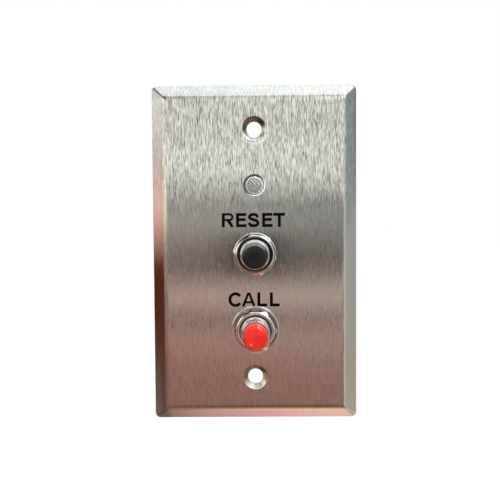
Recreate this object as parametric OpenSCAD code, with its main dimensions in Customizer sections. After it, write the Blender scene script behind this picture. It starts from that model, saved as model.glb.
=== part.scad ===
// Nurse call station on a single-gang wall plate: lamp, RESET push switch and CALL push switch.
// X runs to the right and Z up, seen from the front. The front looks along -Y, and the wall is the plane y = 0.

/* [Wall plate] */
// Width of the plate
plate_w = 69.85; // [60:0.05:90]
// Height of the plate
plate_h = 114.3; // [105:0.1:140]
// How far the face of the plate stands off the wall
plate_depth = 5.2; // [4.6:0.1:7]
// Thickness of the sheet metal
sheet = 0.8; // [0.5:0.05:1]
// Width of the sloping border, seen from the front
border_w = 4.85; // [3.5:0.05:8]
// Height of the upright edge that meets the wall
lip_h = 0.8; // [0.75:0.05:1.5]
// Inner radius of the bends along the border
bend_r = 0.6; // [0.3:0.05:0.8]
// Radius of the plate's outer corners, seen from the front
corner_r = 1.8; // [1.2:0.1:4]

/* [Box screw holes] */
// Distance between the two box screws
screw_spacing = 83.34; // [80:0.01:90]
// Clear diameter of a box screw hole
screw_hole_d = 5; // [4:0.1:5.5]
// Diameter of the dimple round a hole, at the face
dimple_d = 7.2; // [6.6:0.1:8.4]
// Rounding of the dimple's edge
dimple_edge_r = 0.6; // [0.2:0.1:0.8]
// Depth of the dimple
dimple_depth = 1.4; // [1:0.1:2]
// Length of the straight hole below the dimple
hole_land = 0.5; // [0.3:0.1:1]

/* [Lamp] */
// Height of the lamp above the plate's middle
lamp_z = 22.8; // [19:0.1:27]
// Diameter of the lens rim
lens_d = 7.5; // [7:0.1:9]
// Height of the lens rim above the face
lens_rim_h = 0.9; // [0.5:0.1:1.5]
// Width of the flat ring round the domed window of the lens
lens_ring_w = 0.9; // [0.5:0.1:1.2]
// Crown radius of the domed window
lens_crown_r = 5.5; // [4:0.5:12]
// Outer diameter of the lens barrel behind the face
lens_barrel_d = 6.2; // [6:0.1:6.6]
// Length of the lens barrel behind the face
lens_barrel_l = 5; // [3:0.1:6]
// Thickness of the push-on ring that holds the lens
retainer_t = 1; // [0.6:0.1:2]
// Width of that ring
retainer_w = 1.8; // [1:0.1:3]
// Diameter of the lamp body
led_d = 5; // [4:0.1:5.2]
// Length of the lamp body, with its dome
led_l = 8.6; // [7:0.1:9.5]
// Diameter of the lamp's flange
led_flange_d = 5.8; // [5.5:0.1:6.2]
// Thickness of the lamp's flange
led_flange_t = 1; // [0.6:0.1:1.5]
// Gap between the lamp's dome and the lens
led_tip_gap = 0.4; // [0.2:0.1:1]
// Spacing of the lamp's leads
led_lead_spacing = 2.54; // [2:0.02:3]

/* [Push switches] */
// Height of the reset switch above the plate's middle
reset_z = 0; // [-3:0.1:3]
// Height of the call switch above the plate's middle
call_z = -25.4; // [-28:0.1:-23]
// Outer diameter of the threaded bushing
bushing_d = 10; // [9.6:0.05:10.5]
// How far the bushing stands out of the face
bushing_rise = 8; // [6:0.1:9]
// Pitch of the bushing's thread
thread_pitch = 0.75; // [0.6:0.05:1]
// Depth of the bushing's thread
thread_depth = 0.25; // [0.1:0.05:0.3]
// Height of the smooth collar in front of the thread, which narrows towards the button
collar_h = 5.2; // [3:0.1:5.6]
// Width of the collar's rounded front edge
collar_edge_w = 0.35; // [0.2:0.05:0.4]
// Width of the nuts across their flats
nut_af = 12.7; // [12:0.1:14]
// Thickness of the nuts
nut_t = 2.2; // [1.5:0.1:3]
// Width of the chamfer round a nut's front face
nut_chamfer = 0.5; // [0.2:0.1:0.8]
// Turn of the reset nut, seen from the front
reset_nut_turn = 11.4; // [0:0.1:60]
// Turn of the call nut, seen from the front
call_nut_turn = 0; // [0:0.1:60]
// Diameter of the washer under the reset nut
reset_washer_d = 14.2; // [14:0.1:20]
// Diameter of the washer under the call nut
call_washer_d = 16; // [14:0.1:20]
// Thickness of those two washers
washer_t = 0.8; // [0.4:0.1:1]
// Diameter of the toothed washers behind the plate
lock_washer_d = 13.2; // [12.6:0.1:15]
// Thickness of the toothed washers
lock_washer_t = 0.6; // [0.4:0.1:1]
// Number of teeth in a toothed washer
tooth_n = 12; // [8:1:14]
// Diameter of a push button
button_d = 7.9; // [7:0.05:8]
// How far a button stands out of its bushing
button_rise = 5; // [4:0.1:6]
// How far a button can be pushed in
button_travel = 1.8; // [1:0.1:2]
// Crown radius of a button's end
crown_r = 16; // [10:1:40]
// Rounding of a button's edge
button_edge_r = 1; // [0.3:0.1:1.2]
// Thickness of the flange that stops a button
stop_t = 1; // [0.6:0.1:1.5]
// Diameter of that flange
stop_d = 9.8; // [9.3:0.1:10]
// Diameter of the stem behind a button
stem_d = 3; // [2.6:0.1:3.2]
// Share of the stem's thickness that goes on behind its shoulder
neck_share = 0.6; // [0.55:0.05:0.7]
// Share of that thickness that is left in the clip's groove
groove_share = 0.7; // [0.6:0.05:0.8]
// Length of the return spring at rest
spring_l = 5.35; // [5:0.05:7]
// Mean diameter of the return spring
spring_d = 7; // [6:0.1:7.8]
// Wire diameter of the return spring
wire_d = 0.45; // [0.3:0.05:0.5]
// Turns of the return spring, its two closed ends included
spring_turns = 6; // [5:1:6]
// Thickness of the wall between the spring and the contacts
partition_t = 0.7; // [0.5:0.1:1.2]
// Room in front of the contact disc
disc_gap = 0.65; // [0.4:0.05:1.5]
// Diameter of the contact disc
disc_d = 8.4; // [8:0.1:8.8]
// Thickness of the contact disc
disc_t = 0.5; // [0.3:0.1:0.8]
// Thickness of the clip that holds the disc
clip_t = 0.4; // [0.3:0.05:0.6]
// Diameter of that clip
clip_d = 4; // [3.6:0.1:4.2]
// Diameter of the switch body inside its shell
housing_d = 12.7; // [12.2:0.1:13.5]
// Thickness of the shell's metal
shell_t = 0.5; // [0.3:0.05:0.8]
// Thickness of the bushing's flange behind the plate
flange_t = 1.4; // [1:0.1:2]
// Thickness of the switch base
base_t = 2.6; // [2.4:0.1:4]
// Thickness of the base's rim under the crimped edge
base_rim_t = 1.5; // [1:0.1:1.8]
// Diameter of a fixed contact's head
contact_head_d = 1.8; // [1.4:0.1:2]
// Thickness of a fixed contact's head
contact_head_t = 0.6; // [0.4:0.1:1]
// Distance between the two fixed contacts
contact_spacing = 6.4; // [6.2:0.1:6.6]

/* [Circuit board] */
// Width of the board
board_w = 40; // [38:0.5:46]
// Height of the board
board_h = 67; // [66:0.5:70]
// Height of the board's middle above the plate's middle
board_z = -1.5; // [-2:0.1:-1]
// Thickness of the board
board_t = 1.6; // [1:0.1:2.4]
// Corner radius of the board
board_corner_r = 2; // [1:0.5:3]
// Distance of the board screws from the board's edges
board_screw_inset = 4; // [3.5:0.1:5]
// Width of the hex standoffs across their flats
standoff_af = 5.5; // [5:0.1:6]
// Diameter of the studs and the board screws
stud_d = 3; // [2:0.5:3]
// Length of a stud's thread
stud_l = 6; // [3:0.5:6]
// Diameter of a stud's welded foot
stud_foot_d = 5; // [4:0.1:6]
// Thickness of a stud's welded foot
stud_foot_t = 0.5; // [0.3:0.1:1]
// Diameter of a board screw's head
screw_head_d = 5.6; // [5:0.1:6.4]
// Height of a board screw's head
screw_head_h = 1.8; // [1.2:0.1:2.4]
// Length of a board screw's thread
board_screw_l = 6; // [4:0.5:6]
// Diameter of the switch and terminal pins
pin_d = 1; // [0.8:0.05:1.1]
// Diameter of thin leads
lead_d = 0.55; // [0.4:0.05:0.7]
// How far pins and leads stand out of the board
pin_stub = 1.3; // [1.2:0.1:2]
// Height of a solder joint
solder_h = 0.8; // [0.5:0.1:1]
// Width of the solder round a pin
solder_w = 0.45; // [0.3:0.05:0.6]

/* [Terminal block] */
// Distance between neighbouring terminals
pole_pitch = 5.08; // [5:0.02:5.6]
// Height of the block's middle above the plate's middle
block_z = -12.7; // [-13.4:0.1:-12]
// Size of the block up and down the board
block_d = 8.6; // [8.4:0.1:9.4]
// Height of the block above the board
block_h = 12; // [11.6:0.1:15]
// Thickness of the block's end walls
block_wall = 0.6; // [0.5:0.1:1]
// Thickness of the block's floor
block_floor = 1; // [0.8:0.1:1.2]
// Thickness of the web under a screw's head
block_web = 1.2; // [0.8:0.1:1.4]
// Depth of the wells over the screws
well_depth = 2.4; // [2:0.1:2.6]
// Length of a clamp along the wire
clamp_l = 3.4; // [3:0.1:3.6]
// Height of a clamp
clamp_h = 5.2; // [5:0.1:5.4]
// Thickness of a clamp's metal
clamp_t = 0.6; // [0.4:0.05:0.7]
// How far a clamp can rise
clamp_travel = 1.8; // [1.2:0.1:1.8]
// Diameter of a clamp screw's head
clamp_head_d = 3.7; // [3.3:0.1:3.8]
// Height of a clamp screw's head
clamp_head_h = 1.5; // [1.2:0.1:1.9]
// Diameter of a clamp screw's thread
clamp_screw_d = 2.4; // [2:0.1:2.6]
// Thickness of a contact strip
strip_t = 0.5; // [0.4:0.05:0.6]
// Width of a contact strip
strip_w = 1.6; // [1.4:0.1:1.8]

/* [Relay and small parts] */
// Width of the relay
relay_w = 14; // [12:0.5:16]
// Size of the relay up and down the board
relay_d = 9; // [8:0.5:10]
// Height of the relay above the board
relay_h = 8.5; // [5:0.5:12]
// Height of the relay's middle above the plate's middle
relay_z = 11.5; // [11:0.1:12]
// Distance between the relay's two rows of pins
relay_row_spacing = 5.08; // [5:0.02:7.6]
// Distance between neighbouring relay pins
relay_pin_pitch = 3.2; // [2.5:0.1:3.4]
// Rounding of the relay's upright edges
relay_edge_r = 0.8; // [0.3:0.1:1.5]
// Height of the relay's feet
relay_foot = 0.4; // [0.2:0.1:0.8]
// Length of a resistor's body
resistor_l = 6.3; // [5:0.1:7]
// Diameter of a resistor's body
resistor_d = 2.3; // [1.8:0.1:2.5]
// Length of the diode's body
diode_l = 4.2; // [3:0.1:5]
// Diameter of the diode's body
diode_d = 2; // [1.6:0.1:2.7]
// Distance between the two board holes of a resistor or the diode
lead_span = 10.16; // [10:0.02:11]
// Distance between the two resistors, middle to middle
resistor_spacing = 14; // [12:0.1:14]

/* [Hidden] */
// Radial or end gap between pieces that fit into each other
fit = 0.05;
// Radial gap round pieces that slide
slide_gap = 0.1;
// Radial gap of holes that only clear what goes through
free_gap = 0.15;
// Gap that moving pieces keep from fixed ones at the end of their travel
stop_gap = 0.3;
// How far every cut runs past the faces it opens
overrun = 1;
$fn = 64;

// Share of a screw head's height that its slot or cross is deep
recess_depth_share = 0.5;
// Share of a screw head's diameter that the cross is long
cross_length_share = 0.5;
// Share of the cross's length that it is wide
cross_width_share = 0.25;
// Share of a screw head's diameter that the slot is wide
slot_width_share = 0.2;
// Share of the solder's width that is left at its top
solder_top_share = 0.25;
// Share of the way from the terminal block to the board's upright edges where the side parts stand
side_place_share = 0.25;
// Share of a toothed washer's width that its teeth are long
tooth_share = 0.5;
// Thickness of a resistor's waist, as a share of its bulges
waist_share = 0.85;
// Length of a resistor's bulge, as a share of its diameter
bulge_share = 0.5;

terminal_n = 4;
terminals = [1:terminal_n];

// Depths, along Y, from the front to the back
face_y = -plate_depth;
back_y = face_y + sheet;
bushing_y = face_y - bushing_rise;
flange_y = back_y + lock_washer_t;
shell_y = flange_y + flange_t;
stop_y = shell_y + fit;
spring_y = stop_y + stop_t;
partition_y = spring_y + spring_l;
chamber_y = partition_y + partition_t;
disc_y = chamber_y + disc_gap;
clip_y = disc_y + disc_t;
stem_tip_l = clip_t;
stem_end_y = clip_y + clip_t + stem_tip_l;
contact_y = clip_y + button_travel + fit;
base_y = contact_y + contact_head_t;
base_step_y = base_y + base_rim_t;
board_y = base_y + base_t;
board_back_y = board_y + board_t;
pocket_y = max(base_y, stem_end_y + button_travel) + stop_gap;

// Radii that several pieces share
bushing_r = bushing_d / 2;
bore_r = button_d / 2 + slide_gap;
housing_r = housing_d / 2;
shell_in_r = housing_r + fit;
shell_r = shell_in_r + shell_t;
cavity_r = stop_d / 2 + free_gap;
chamber_r = disc_d / 2 + stop_gap;
stem_r = stem_d / 2;
neck_r = stem_r * neck_share;
groove_r = neck_r * groove_share;
stem_hole_r = stem_r + stop_gap;
clip_r = clip_d / 2;
pin_r = pin_d / 2;
lead_r = lead_d / 2;

// Lamp
lens_bore_r = led_d / 2 + free_gap;
lens_front_y = face_y - lens_rim_h;
led_y = face_y + led_tip_gap;
led_back_y = led_y + led_l;

// Terminal block, from the board to the block's top
wire_w = clamp_screw_d + 2 * slide_gap;
clamp_w = wire_w + 2 * clamp_t;
clamp_y = board_back_y + block_floor + stop_gap;
clamp_top_y = clamp_y + clamp_h;
web_y = clamp_top_y + clamp_travel + stop_gap;
well_y = web_y + block_web;
block_y = max(board_back_y + block_h, well_y + clamp_head_h + stop_gap);
screw_end_y = clamp_top_y - clamp_t + slide_gap;
strip_y = screw_end_y - stop_gap - strip_t;
block_w = terminal_n * pole_pitch + 2 * block_wall;
clamp_z = block_z - block_d / 2 + stop_gap + block_wall + clamp_l / 2;
strip_pin_z = block_z + block_d / 2 - block_wall - pin_r - stop_gap;

// Places across and up the board, as [x, z]
function pole_x(i) = (i - (terminal_n + 1) / 2) * pole_pitch;
board_screw_x = board_w / 2 - board_screw_inset;
board_screw_dz = board_h / 2 - board_screw_inset;
board_screw_places = [for (s = [-1, 1]) [s * board_screw_x, board_z - s * board_screw_dz]];
contact_places = [for (z = [reset_z, call_z], s = [-1, 1]) [s * contact_spacing / 2, z]];
led_places = [for (s = [-1, 1]) [s * led_lead_spacing / 2, lamp_z]];
terminal_places = [for (i = terminals) [pole_x(i), strip_pin_z]];
relay_places = [
    for (row = [-1, 1], i = [-1.5:1:1.5]) [i * relay_pin_pitch, relay_z + row * relay_row_spacing / 2]
];
side_part_x = block_w / 2 + (board_w - block_w) / 2 * side_place_share;
resistor_places = [for (s = [-1, 1]) [side_part_x, board_z + s * resistor_spacing / 2]];
diode_place = [-side_part_x, relay_z];
axial_places = concat(resistor_places, [diode_place]);
lead_places = [for (p = axial_places, s = [-1, 1]) [p[0], p[1] + s * lead_span / 2]];

// Points of an arc round c, from angle a0 to a1
function arc(c, r, a0, a1, steps = 12) = [
    for (i = [0:steps]) let (a = a0 + (a1 - a0) * i / steps) c + r * [cos(a), sin(a)]
];

// A half outline and its mirror image, joined into one closed outline
function both_sides(half) = concat(half, [for (i = [len(half) - 1:-1:0]) [-half[i][0], half[i][1]]]);

// Moves a shape drawn round Z to the place x, z, and lays it along the depth, so that its z becomes y
module along_depth(x = 0, z = 0) {
    translate([x, 0, z]) rotate([-90, 0, 0]) children();
}

// A turned solid, from points that are [radius, depth]
module turned(points) {
    rotate_extrude() polygon(points);
}

// A round tube or washer between two depths
module ring(outer_r, inner_r, y0, y1) {
    turned([[inner_r, y0], [outer_r, y0], [outer_r, y1], [inner_r, y1]]);
}

// A round bar between two depths
module bar(r, y0, y1) {
    translate([0, 0, y0]) cylinder(h = y1 - y0, r = r);
}

// A rectangle with round corners
module rounded(w, h, r) {
    square([w - 2 * r, h], center = true);
    square([w, h - 2 * r], center = true);
    for (x = [-1, 1], y = [-1, 1]) translate([x * (w / 2 - r), y * (h / 2 - r)]) circle(r = r);
}

// A block that spans x0 to x1, y0 to y1 and z0 to z1
module span(x, y, z) {
    translate([x[0], y[0], z[0]]) cube([x[1] - x[0], y[1] - y[0], z[1] - z[0]]);
}

// Half of the plate's section: face, bend, sloping border, bend and upright edge.
// The inset is 0 on the outside and the sheet's thickness on the inside.
slope = atan2(plate_depth - lip_h, border_w);
bend_out_r = bend_r + sheet;
function border(half, inset, rear_y) = let (
    face_bend = [half - border_w - bend_out_r * tan(slope / 2), bend_out_r - plate_depth],
    edge_bend = [half - bend_out_r, bend_out_r * tan((90 - slope) / 2) - lip_h]
) concat(
    arc(face_bend, bend_out_r - inset, -90, slope - 90),
    arc(edge_bend, bend_out_r - inset, slope - 90, 0),
    [[half - inset, rear_y]]
);

// The pressed plate as a full block: two sections crossed, which mitres the corners of the border
module pressed_block(inset, rear_y) {
    intersection() {
        linear_extrude(plate_h, center = true) polygon(both_sides(border(plate_w / 2, inset, rear_y)));
        rotate([0, -90, 0]) linear_extrude(plate_w, center = true)
            polygon(both_sides(border(plate_h / 2, inset, rear_y)));
        translate([0, rear_y, 0]) rotate([90, 0, 0]) linear_extrude(plate_depth + rear_y)
            rounded(plate_w - 2 * inset, plate_h - 2 * inset, corner_r - inset);
    }
}

// Profile of a dimple: its rounded edge, then a cone down to the hole
dimple_y = face_y + dimple_depth;
hole_end_y = dimple_y + hole_land;
dimple_run = [screw_hole_d - dimple_d, 2 * (dimple_depth - dimple_edge_r)] / 2;
dimple_turn = atan2(dimple_run[1], -dimple_run[0]) - asin(dimple_edge_r / norm(dimple_run));
dimple_edge = arc([dimple_d / 2, face_y + dimple_edge_r], dimple_edge_r, -90, -90 - dimple_turn);
module face_plate() color("silver") difference() {
    union() {
        difference() {
            pressed_block(0, 0);
            pressed_block(sheet, overrun);
        }
        for (s = [-1, 1]) along_depth(z = s * screw_spacing / 2) turned([
            [0, back_y - sheet / 2],
            [dimple_d / 2 + sheet / 2, back_y - sheet / 2],
            [dimple_d / 2 + sheet / 2, back_y],
            [screw_hole_d / 2 + sheet, hole_end_y],
            [0, hole_end_y]
        ]);
    }
    for (s = [-1, 1]) along_depth(z = s * screw_spacing / 2) {
        bar(screw_hole_d / 2, face_y - overrun, hole_end_y + overrun);
        turned(concat(
            [[0, face_y - overrun], [dimple_d / 2, face_y - overrun]],
            dimple_edge,
            [[screw_hole_d / 2, dimple_y], [0, dimple_y]]
        ));
    }
    along_depth(z = lamp_z) bar(lens_barrel_d / 2 + fit, face_y - overrun, back_y + overrun);
    for (z = [reset_z, call_z]) along_depth(z = z)
        bar(bushing_r + free_gap, face_y - overrun, back_y + overrun);
}

// Clear moulded lens: a flat ring round a domed window, and a barrel that goes through the plate
lens_window_r = lens_d / 2 - lens_ring_w;
lens_crown_a = asin(lens_window_r / lens_crown_r);
lens_crown_y = lens_front_y + lens_crown_r * cos(lens_crown_a);
module lens() color("whitesmoke", 0.6) along_depth(z = lamp_z) turned(concat(
    arc([0, lens_crown_y], lens_crown_r, -90, lens_crown_a - 90),
    [
        [lens_d / 2, lens_front_y],
        [lens_d / 2, face_y],
        [lens_barrel_d / 2, face_y],
        [lens_barrel_d / 2, face_y + lens_barrel_l],
        [lens_bore_r, face_y + lens_barrel_l],
        [lens_bore_r, face_y],
        [0, face_y]
    ]
));

module lens_retainer() color("gray") along_depth(z = lamp_z)
    ring(lens_barrel_d / 2 + retainer_w, lens_barrel_d / 2 + fit, back_y, back_y + retainer_t);

module led() color("gainsboro") along_depth(z = lamp_z) turned(concat(
    arc([0, led_y + led_d / 2], led_d / 2, -90, 0),
    [
        [led_d / 2, led_back_y - led_flange_t],
        [led_flange_d / 2, led_back_y - led_flange_t],
        [led_flange_d / 2, led_back_y],
        [0, led_back_y]
    ]
));

module led_leads() color("silver")
    for (p = led_places) along_depth(p[0], p[1]) bar(lead_r, led_back_y, board_back_y + pin_stub);

module led_spacer() color("white") difference() {
    along_depth(z = lamp_z) bar(led_flange_d / 2, led_back_y, board_y);
    for (p = led_places) along_depth(p[0], p[1])
        bar(lead_r + free_gap, led_back_y - overrun, board_y + overrun);
}

// Stud with a flat foot, welded to the back of the plate
stud_y = back_y + stud_foot_t;
module weld_studs() color("silver") for (p = board_screw_places) along_depth(p[0], p[1]) turned([
    [0, back_y],
    [stud_foot_d / 2, back_y],
    [stud_foot_d / 2, stud_y],
    [stud_d / 2, stud_y],
    [stud_d / 2, stud_y + stud_l],
    [0, stud_y + stud_l]
]);

// Hex standoff, tapped from both ends
module standoffs() color("goldenrod") for (p = board_screw_places) along_depth(p[0], p[1]) difference() {
    translate([0, 0, stud_y]) cylinder(h = board_y - stud_y, d = standoff_af / cos(30), $fn = 6);
    bar(stud_d / 2 + fit, stud_y - overrun, stud_y + stud_l + stop_gap);
    bar(stud_d / 2 + fit, board_y - board_screw_l - stop_gap, board_y + overrun);
}

// Pan-head screw with a cross recess
cross_depth = screw_head_h * recess_depth_share;
cross_l = screw_head_d * cross_length_share;
cross_w = cross_l * cross_width_share;
module board_screws() color("lightgray") for (p = board_screw_places) along_depth(p[0], p[1]) difference() {
    turned(concat(
        [
            [0, board_y - board_screw_l],
            [stud_d / 2, board_y - board_screw_l],
            [stud_d / 2, board_back_y],
            [screw_head_d / 2, board_back_y]
        ],
        arc([screw_head_d / 2 - screw_head_h / 2, board_back_y + screw_head_h / 2], screw_head_h / 2, 0, 90),
        [[0, board_back_y + screw_head_h]]
    ));
    for (a = [0, 90]) rotate([0, 0, a]) translate([0, 0, board_back_y + screw_head_h])
        cube([cross_l, cross_w, 2 * cross_depth], center = true);
}

module circuit_board() color("darkgreen") difference() {
    translate([0, board_back_y, board_z]) rotate([90, 0, 0]) linear_extrude(board_t)
        rounded(board_w, board_h, board_corner_r);
    for (p = board_screw_places) along_depth(p[0], p[1])
        bar(stud_d / 2 + free_gap, board_y - overrun, board_back_y + overrun);
    for (p = concat(contact_places, terminal_places)) along_depth(p[0], p[1])
        bar(pin_r + fit, board_y - overrun, board_back_y + overrun);
    for (p = concat(led_places, relay_places, lead_places)) along_depth(p[0], p[1])
        bar(lead_r + fit, board_y - overrun, board_back_y + overrun);
}

// One cone of solder round a pin, on the back of the board or, mirrored, on its front
solder_gap = fit / 2;
module solder_cone(r, y, side) {
    foot = r + solder_w;
    top = r + solder_w * solder_top_share;
    turned([
        [r + solder_gap, y],
        [foot, y],
        [top, y + side * solder_h],
        [r + solder_gap, y + side * solder_h]
    ]);
}

module solder_joints() color("silver") {
    for (p = contact_places) along_depth(p[0], p[1]) solder_cone(pin_r, board_back_y, 1);
    for (p = led_places) along_depth(p[0], p[1]) solder_cone(lead_r, board_back_y, 1);
    for (p = terminal_places) along_depth(p[0], p[1]) solder_cone(pin_r, board_y, -1);
    for (p = concat(relay_places, lead_places)) along_depth(p[0], p[1]) solder_cone(lead_r, board_y, -1);
}

// Plunger of a switch, in one piece: crowned button, stop flange behind the bushing, stem and clip groove
crown_a = asin((button_d / 2 - button_edge_r) / (crown_r - button_edge_r));
module button() {
    tip_y = bushing_y - button_rise;
    edge_y = tip_y + crown_r - (crown_r - button_edge_r) * cos(crown_a);
    turned(concat(
        arc([0, tip_y + crown_r], crown_r, -90, crown_a - 90),
        arc([button_d / 2 - button_edge_r, edge_y], button_edge_r, crown_a - 90, 0),
        [
            [button_d / 2, stop_y],
            [stop_d / 2, stop_y],
            [stop_d / 2, spring_y],
            [stem_r, spring_y],
            [stem_r, disc_y],
            [neck_r, disc_y],
            [neck_r, clip_y],
            [groove_r, clip_y],
            [groove_r, clip_y + clip_t],
            [neck_r, clip_y + clip_t],
            [neck_r, stem_end_y],
            [0, stem_end_y]
        ]
    ));
}

// Bushing, flange and crimped shell, in one piece. The collar bulges from its front edge to the
// thread, which is a stack of rings.
collar_tip_r = collar_edge_w / 2;
collar_l = collar_h - collar_tip_r;
collar_slope = bushing_r - bore_r - collar_edge_w;
collar_bulge_r = (collar_l * collar_l + collar_slope * collar_slope) / (2 * collar_slope);
thread_y = bushing_y + collar_h;
thread_n = floor((flange_y - thread_y) / thread_pitch);
crimp_y = base_step_y + shell_t;
base_neck_r = housing_r - shell_t - fit;
module bushing() {
    turned(concat(
        arc([bore_r + collar_tip_r, bushing_y + collar_tip_r], collar_tip_r, -180, -5),
        arc([bushing_r - collar_bulge_r, thread_y], collar_bulge_r, -asin(collar_l / collar_bulge_r), 0),
        [
            for (i = [1:thread_n], step = [1, 0])
                [bushing_r - step * thread_depth, thread_y + (i - step / 2) * thread_pitch]
        ],
        [
            [bushing_r, flange_y],
            [shell_r, flange_y],
            [shell_r, crimp_y],
            [base_neck_r + fit, crimp_y],
            [base_neck_r + fit, base_step_y],
            [shell_in_r, base_step_y],
            [shell_in_r, shell_y],
            [bore_r, shell_y]
        ]
    ));
}

// Plain washer on the face of the plate
module washer(d) {
    ring(d / 2, bushing_r + free_gap, face_y - washer_t, face_y);
}

// Hex nut with its front corners chamfered
module nut(turn) {
    seat_y = face_y - washer_t;
    corner_r = nut_af / 2 / cos(30);
    face_r = nut_af / 2 - nut_chamfer;
    difference() {
        intersection() {
            rotate([0, 0, turn]) translate([0, 0, seat_y - nut_t]) cylinder(h = nut_t, r = corner_r, $fn = 6);
            turned([
                [0, seat_y - nut_t],
                [face_r, seat_y - nut_t],
                [corner_r, seat_y - nut_t + (corner_r - face_r) * tan(30)],
                [corner_r, seat_y],
                [0, seat_y]
            ]);
        }
        bar(bushing_r + fit, seat_y - nut_t - overrun, seat_y + overrun);
    }
}

// Toothed washer: a ring with square teeth that reach in to the bushing
tooth_l = (lock_washer_d / 2 - bushing_r) * tooth_share;
module lock_washer() {
    inner_r = bushing_r + free_gap;
    ring(lock_washer_d / 2, inner_r + tooth_l, back_y, flange_y);
    for (i = [1:tooth_n]) rotate([0, 0, 360 * i / tooth_n])
        translate([inner_r, -tooth_l / 2, back_y]) cube([tooth_l + thread_depth, tooth_l, lock_washer_t]);
}

// Moulded switch body: a cavity for the stop flange and spring, a wall, and a chamber for the contacts
module housing() {
    turned([
        [cavity_r, shell_y],
        [housing_r, shell_y],
        [housing_r, base_y],
        [chamber_r, base_y],
        [chamber_r, chamber_y],
        [stem_hole_r, chamber_y],
        [stem_hole_r, partition_y],
        [cavity_r, partition_y]
    ]);
}

// Moulded base with a pocket for the stem's end and a hole for each contact pin
pocket_r = max(stem_r, clip_r) + free_gap;
module base(z) {
    difference() {
        along_depth(z = z) turned([
            [0, pocket_y],
            [pocket_r, pocket_y],
            [pocket_r, base_y],
            [housing_r, base_y],
            [housing_r, base_step_y],
            [base_neck_r, base_step_y],
            [base_neck_r, board_y],
            [0, board_y]
        ]);
        for (s = [-1, 1]) along_depth(s * contact_spacing / 2, z)
            bar(pin_r + fit, base_y - overrun, board_y + overrun);
    }
}

// Fixed contacts: a flat head on the base and a pin through the board
module contacts(z) {
    for (s = [-1, 1]) along_depth(s * contact_spacing / 2, z) turned([
        [0, contact_y],
        [contact_head_d / 2, contact_y],
        [contact_head_d / 2, base_y],
        [pin_r, base_y],
        [pin_r, board_back_y + pin_stub],
        [0, board_back_y + pin_stub]
    ]);
}

module disc() {
    ring(disc_d / 2, neck_r + fit, disc_y, clip_y);
}

// Open clip that snaps into the stem's groove from the side
module clip() {
    difference() {
        ring(clip_r, groove_r + fit / 2, clip_y, clip_y + clip_t);
        translate([0, -groove_r, clip_y - overrun]) cube([clip_r, 2 * groove_r, clip_t + 2 * overrun]);
    }
}

// Return spring: one unbroken wire, with a closed turn at each end
wire_sides = 6;
turn_rings = 14;
closed_pitch = wire_d + 2 * fit;
open_pitch = (spring_l - wire_d - 2 * fit - 2 * closed_pitch) / (spring_turns - 2);
function coil_y(t) = spring_y + fit + wire_d / 2 + closed_pitch * min(t, 1)
    + open_pitch * min(max(t - 1, 0), spring_turns - 2) + closed_pitch * max(t - spring_turns + 1, 0);
module spring() {
    rings = spring_turns * turn_rings;
    last = rings * wire_sides;
    points = [
        for (i = [0:rings], k = [0:wire_sides - 1])
            let (a = 360 * i / turn_rings, b = 360 * k / wire_sides, r = spring_d / 2 + wire_d / 2 * cos(b))
                [r * cos(a), r * sin(a), coil_y(i / turn_rings) + wire_d / 2 * sin(b)]
    ];
    sides = [
        for (i = [0:rings - 1], k = [0:wire_sides - 1])
            let (p = i * wire_sides, q = p + wire_sides, n = (k + 1) % wire_sides)
                each [[p + k, p + n, q + n], [p + k, q + n, q + k]]
    ];
    polyhedron(points, concat(
        [[for (k = [wire_sides - 1:-1:0]) k]],
        sides,
        [[for (k = [0:wire_sides - 1]) last + k]]
    ));
}

module reset_button() color("black") along_depth(z = reset_z) button();
module reset_bushing() color("silver") along_depth(z = reset_z) bushing();
module reset_nut() color("silver") along_depth(z = reset_z) nut(reset_nut_turn);
module reset_washer() color("silver") along_depth(z = reset_z) washer(reset_washer_d);
module reset_lock_washer() color("gray") along_depth(z = reset_z) lock_washer();
module reset_housing() color("saddlebrown") along_depth(z = reset_z) housing();
module reset_base() color("saddlebrown") base(reset_z);
module reset_contacts() color("gold") contacts(reset_z);
module reset_disc() color("gold") along_depth(z = reset_z) disc();
module reset_clip() color("gray") along_depth(z = reset_z) clip();
module reset_spring() color("lightgray") along_depth(z = reset_z) spring();

module call_button() color("red") along_depth(z = call_z) button();
module call_bushing() color("silver") along_depth(z = call_z) bushing();
module call_nut() color("silver") along_depth(z = call_z) nut(call_nut_turn);
module call_washer() color("silver") along_depth(z = call_z) washer(call_washer_d);
module call_lock_washer() color("gray") along_depth(z = call_z) lock_washer();
module call_housing() color("saddlebrown") along_depth(z = call_z) housing();
module call_base() color("saddlebrown") base(call_z);
module call_contacts() color("gold") contacts(call_z);
module call_disc() color("gold") along_depth(z = call_z) disc();
module call_clip() color("gray") along_depth(z = call_z) clip();
module call_spring() color("lightgray") along_depth(z = call_z) spring();

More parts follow.
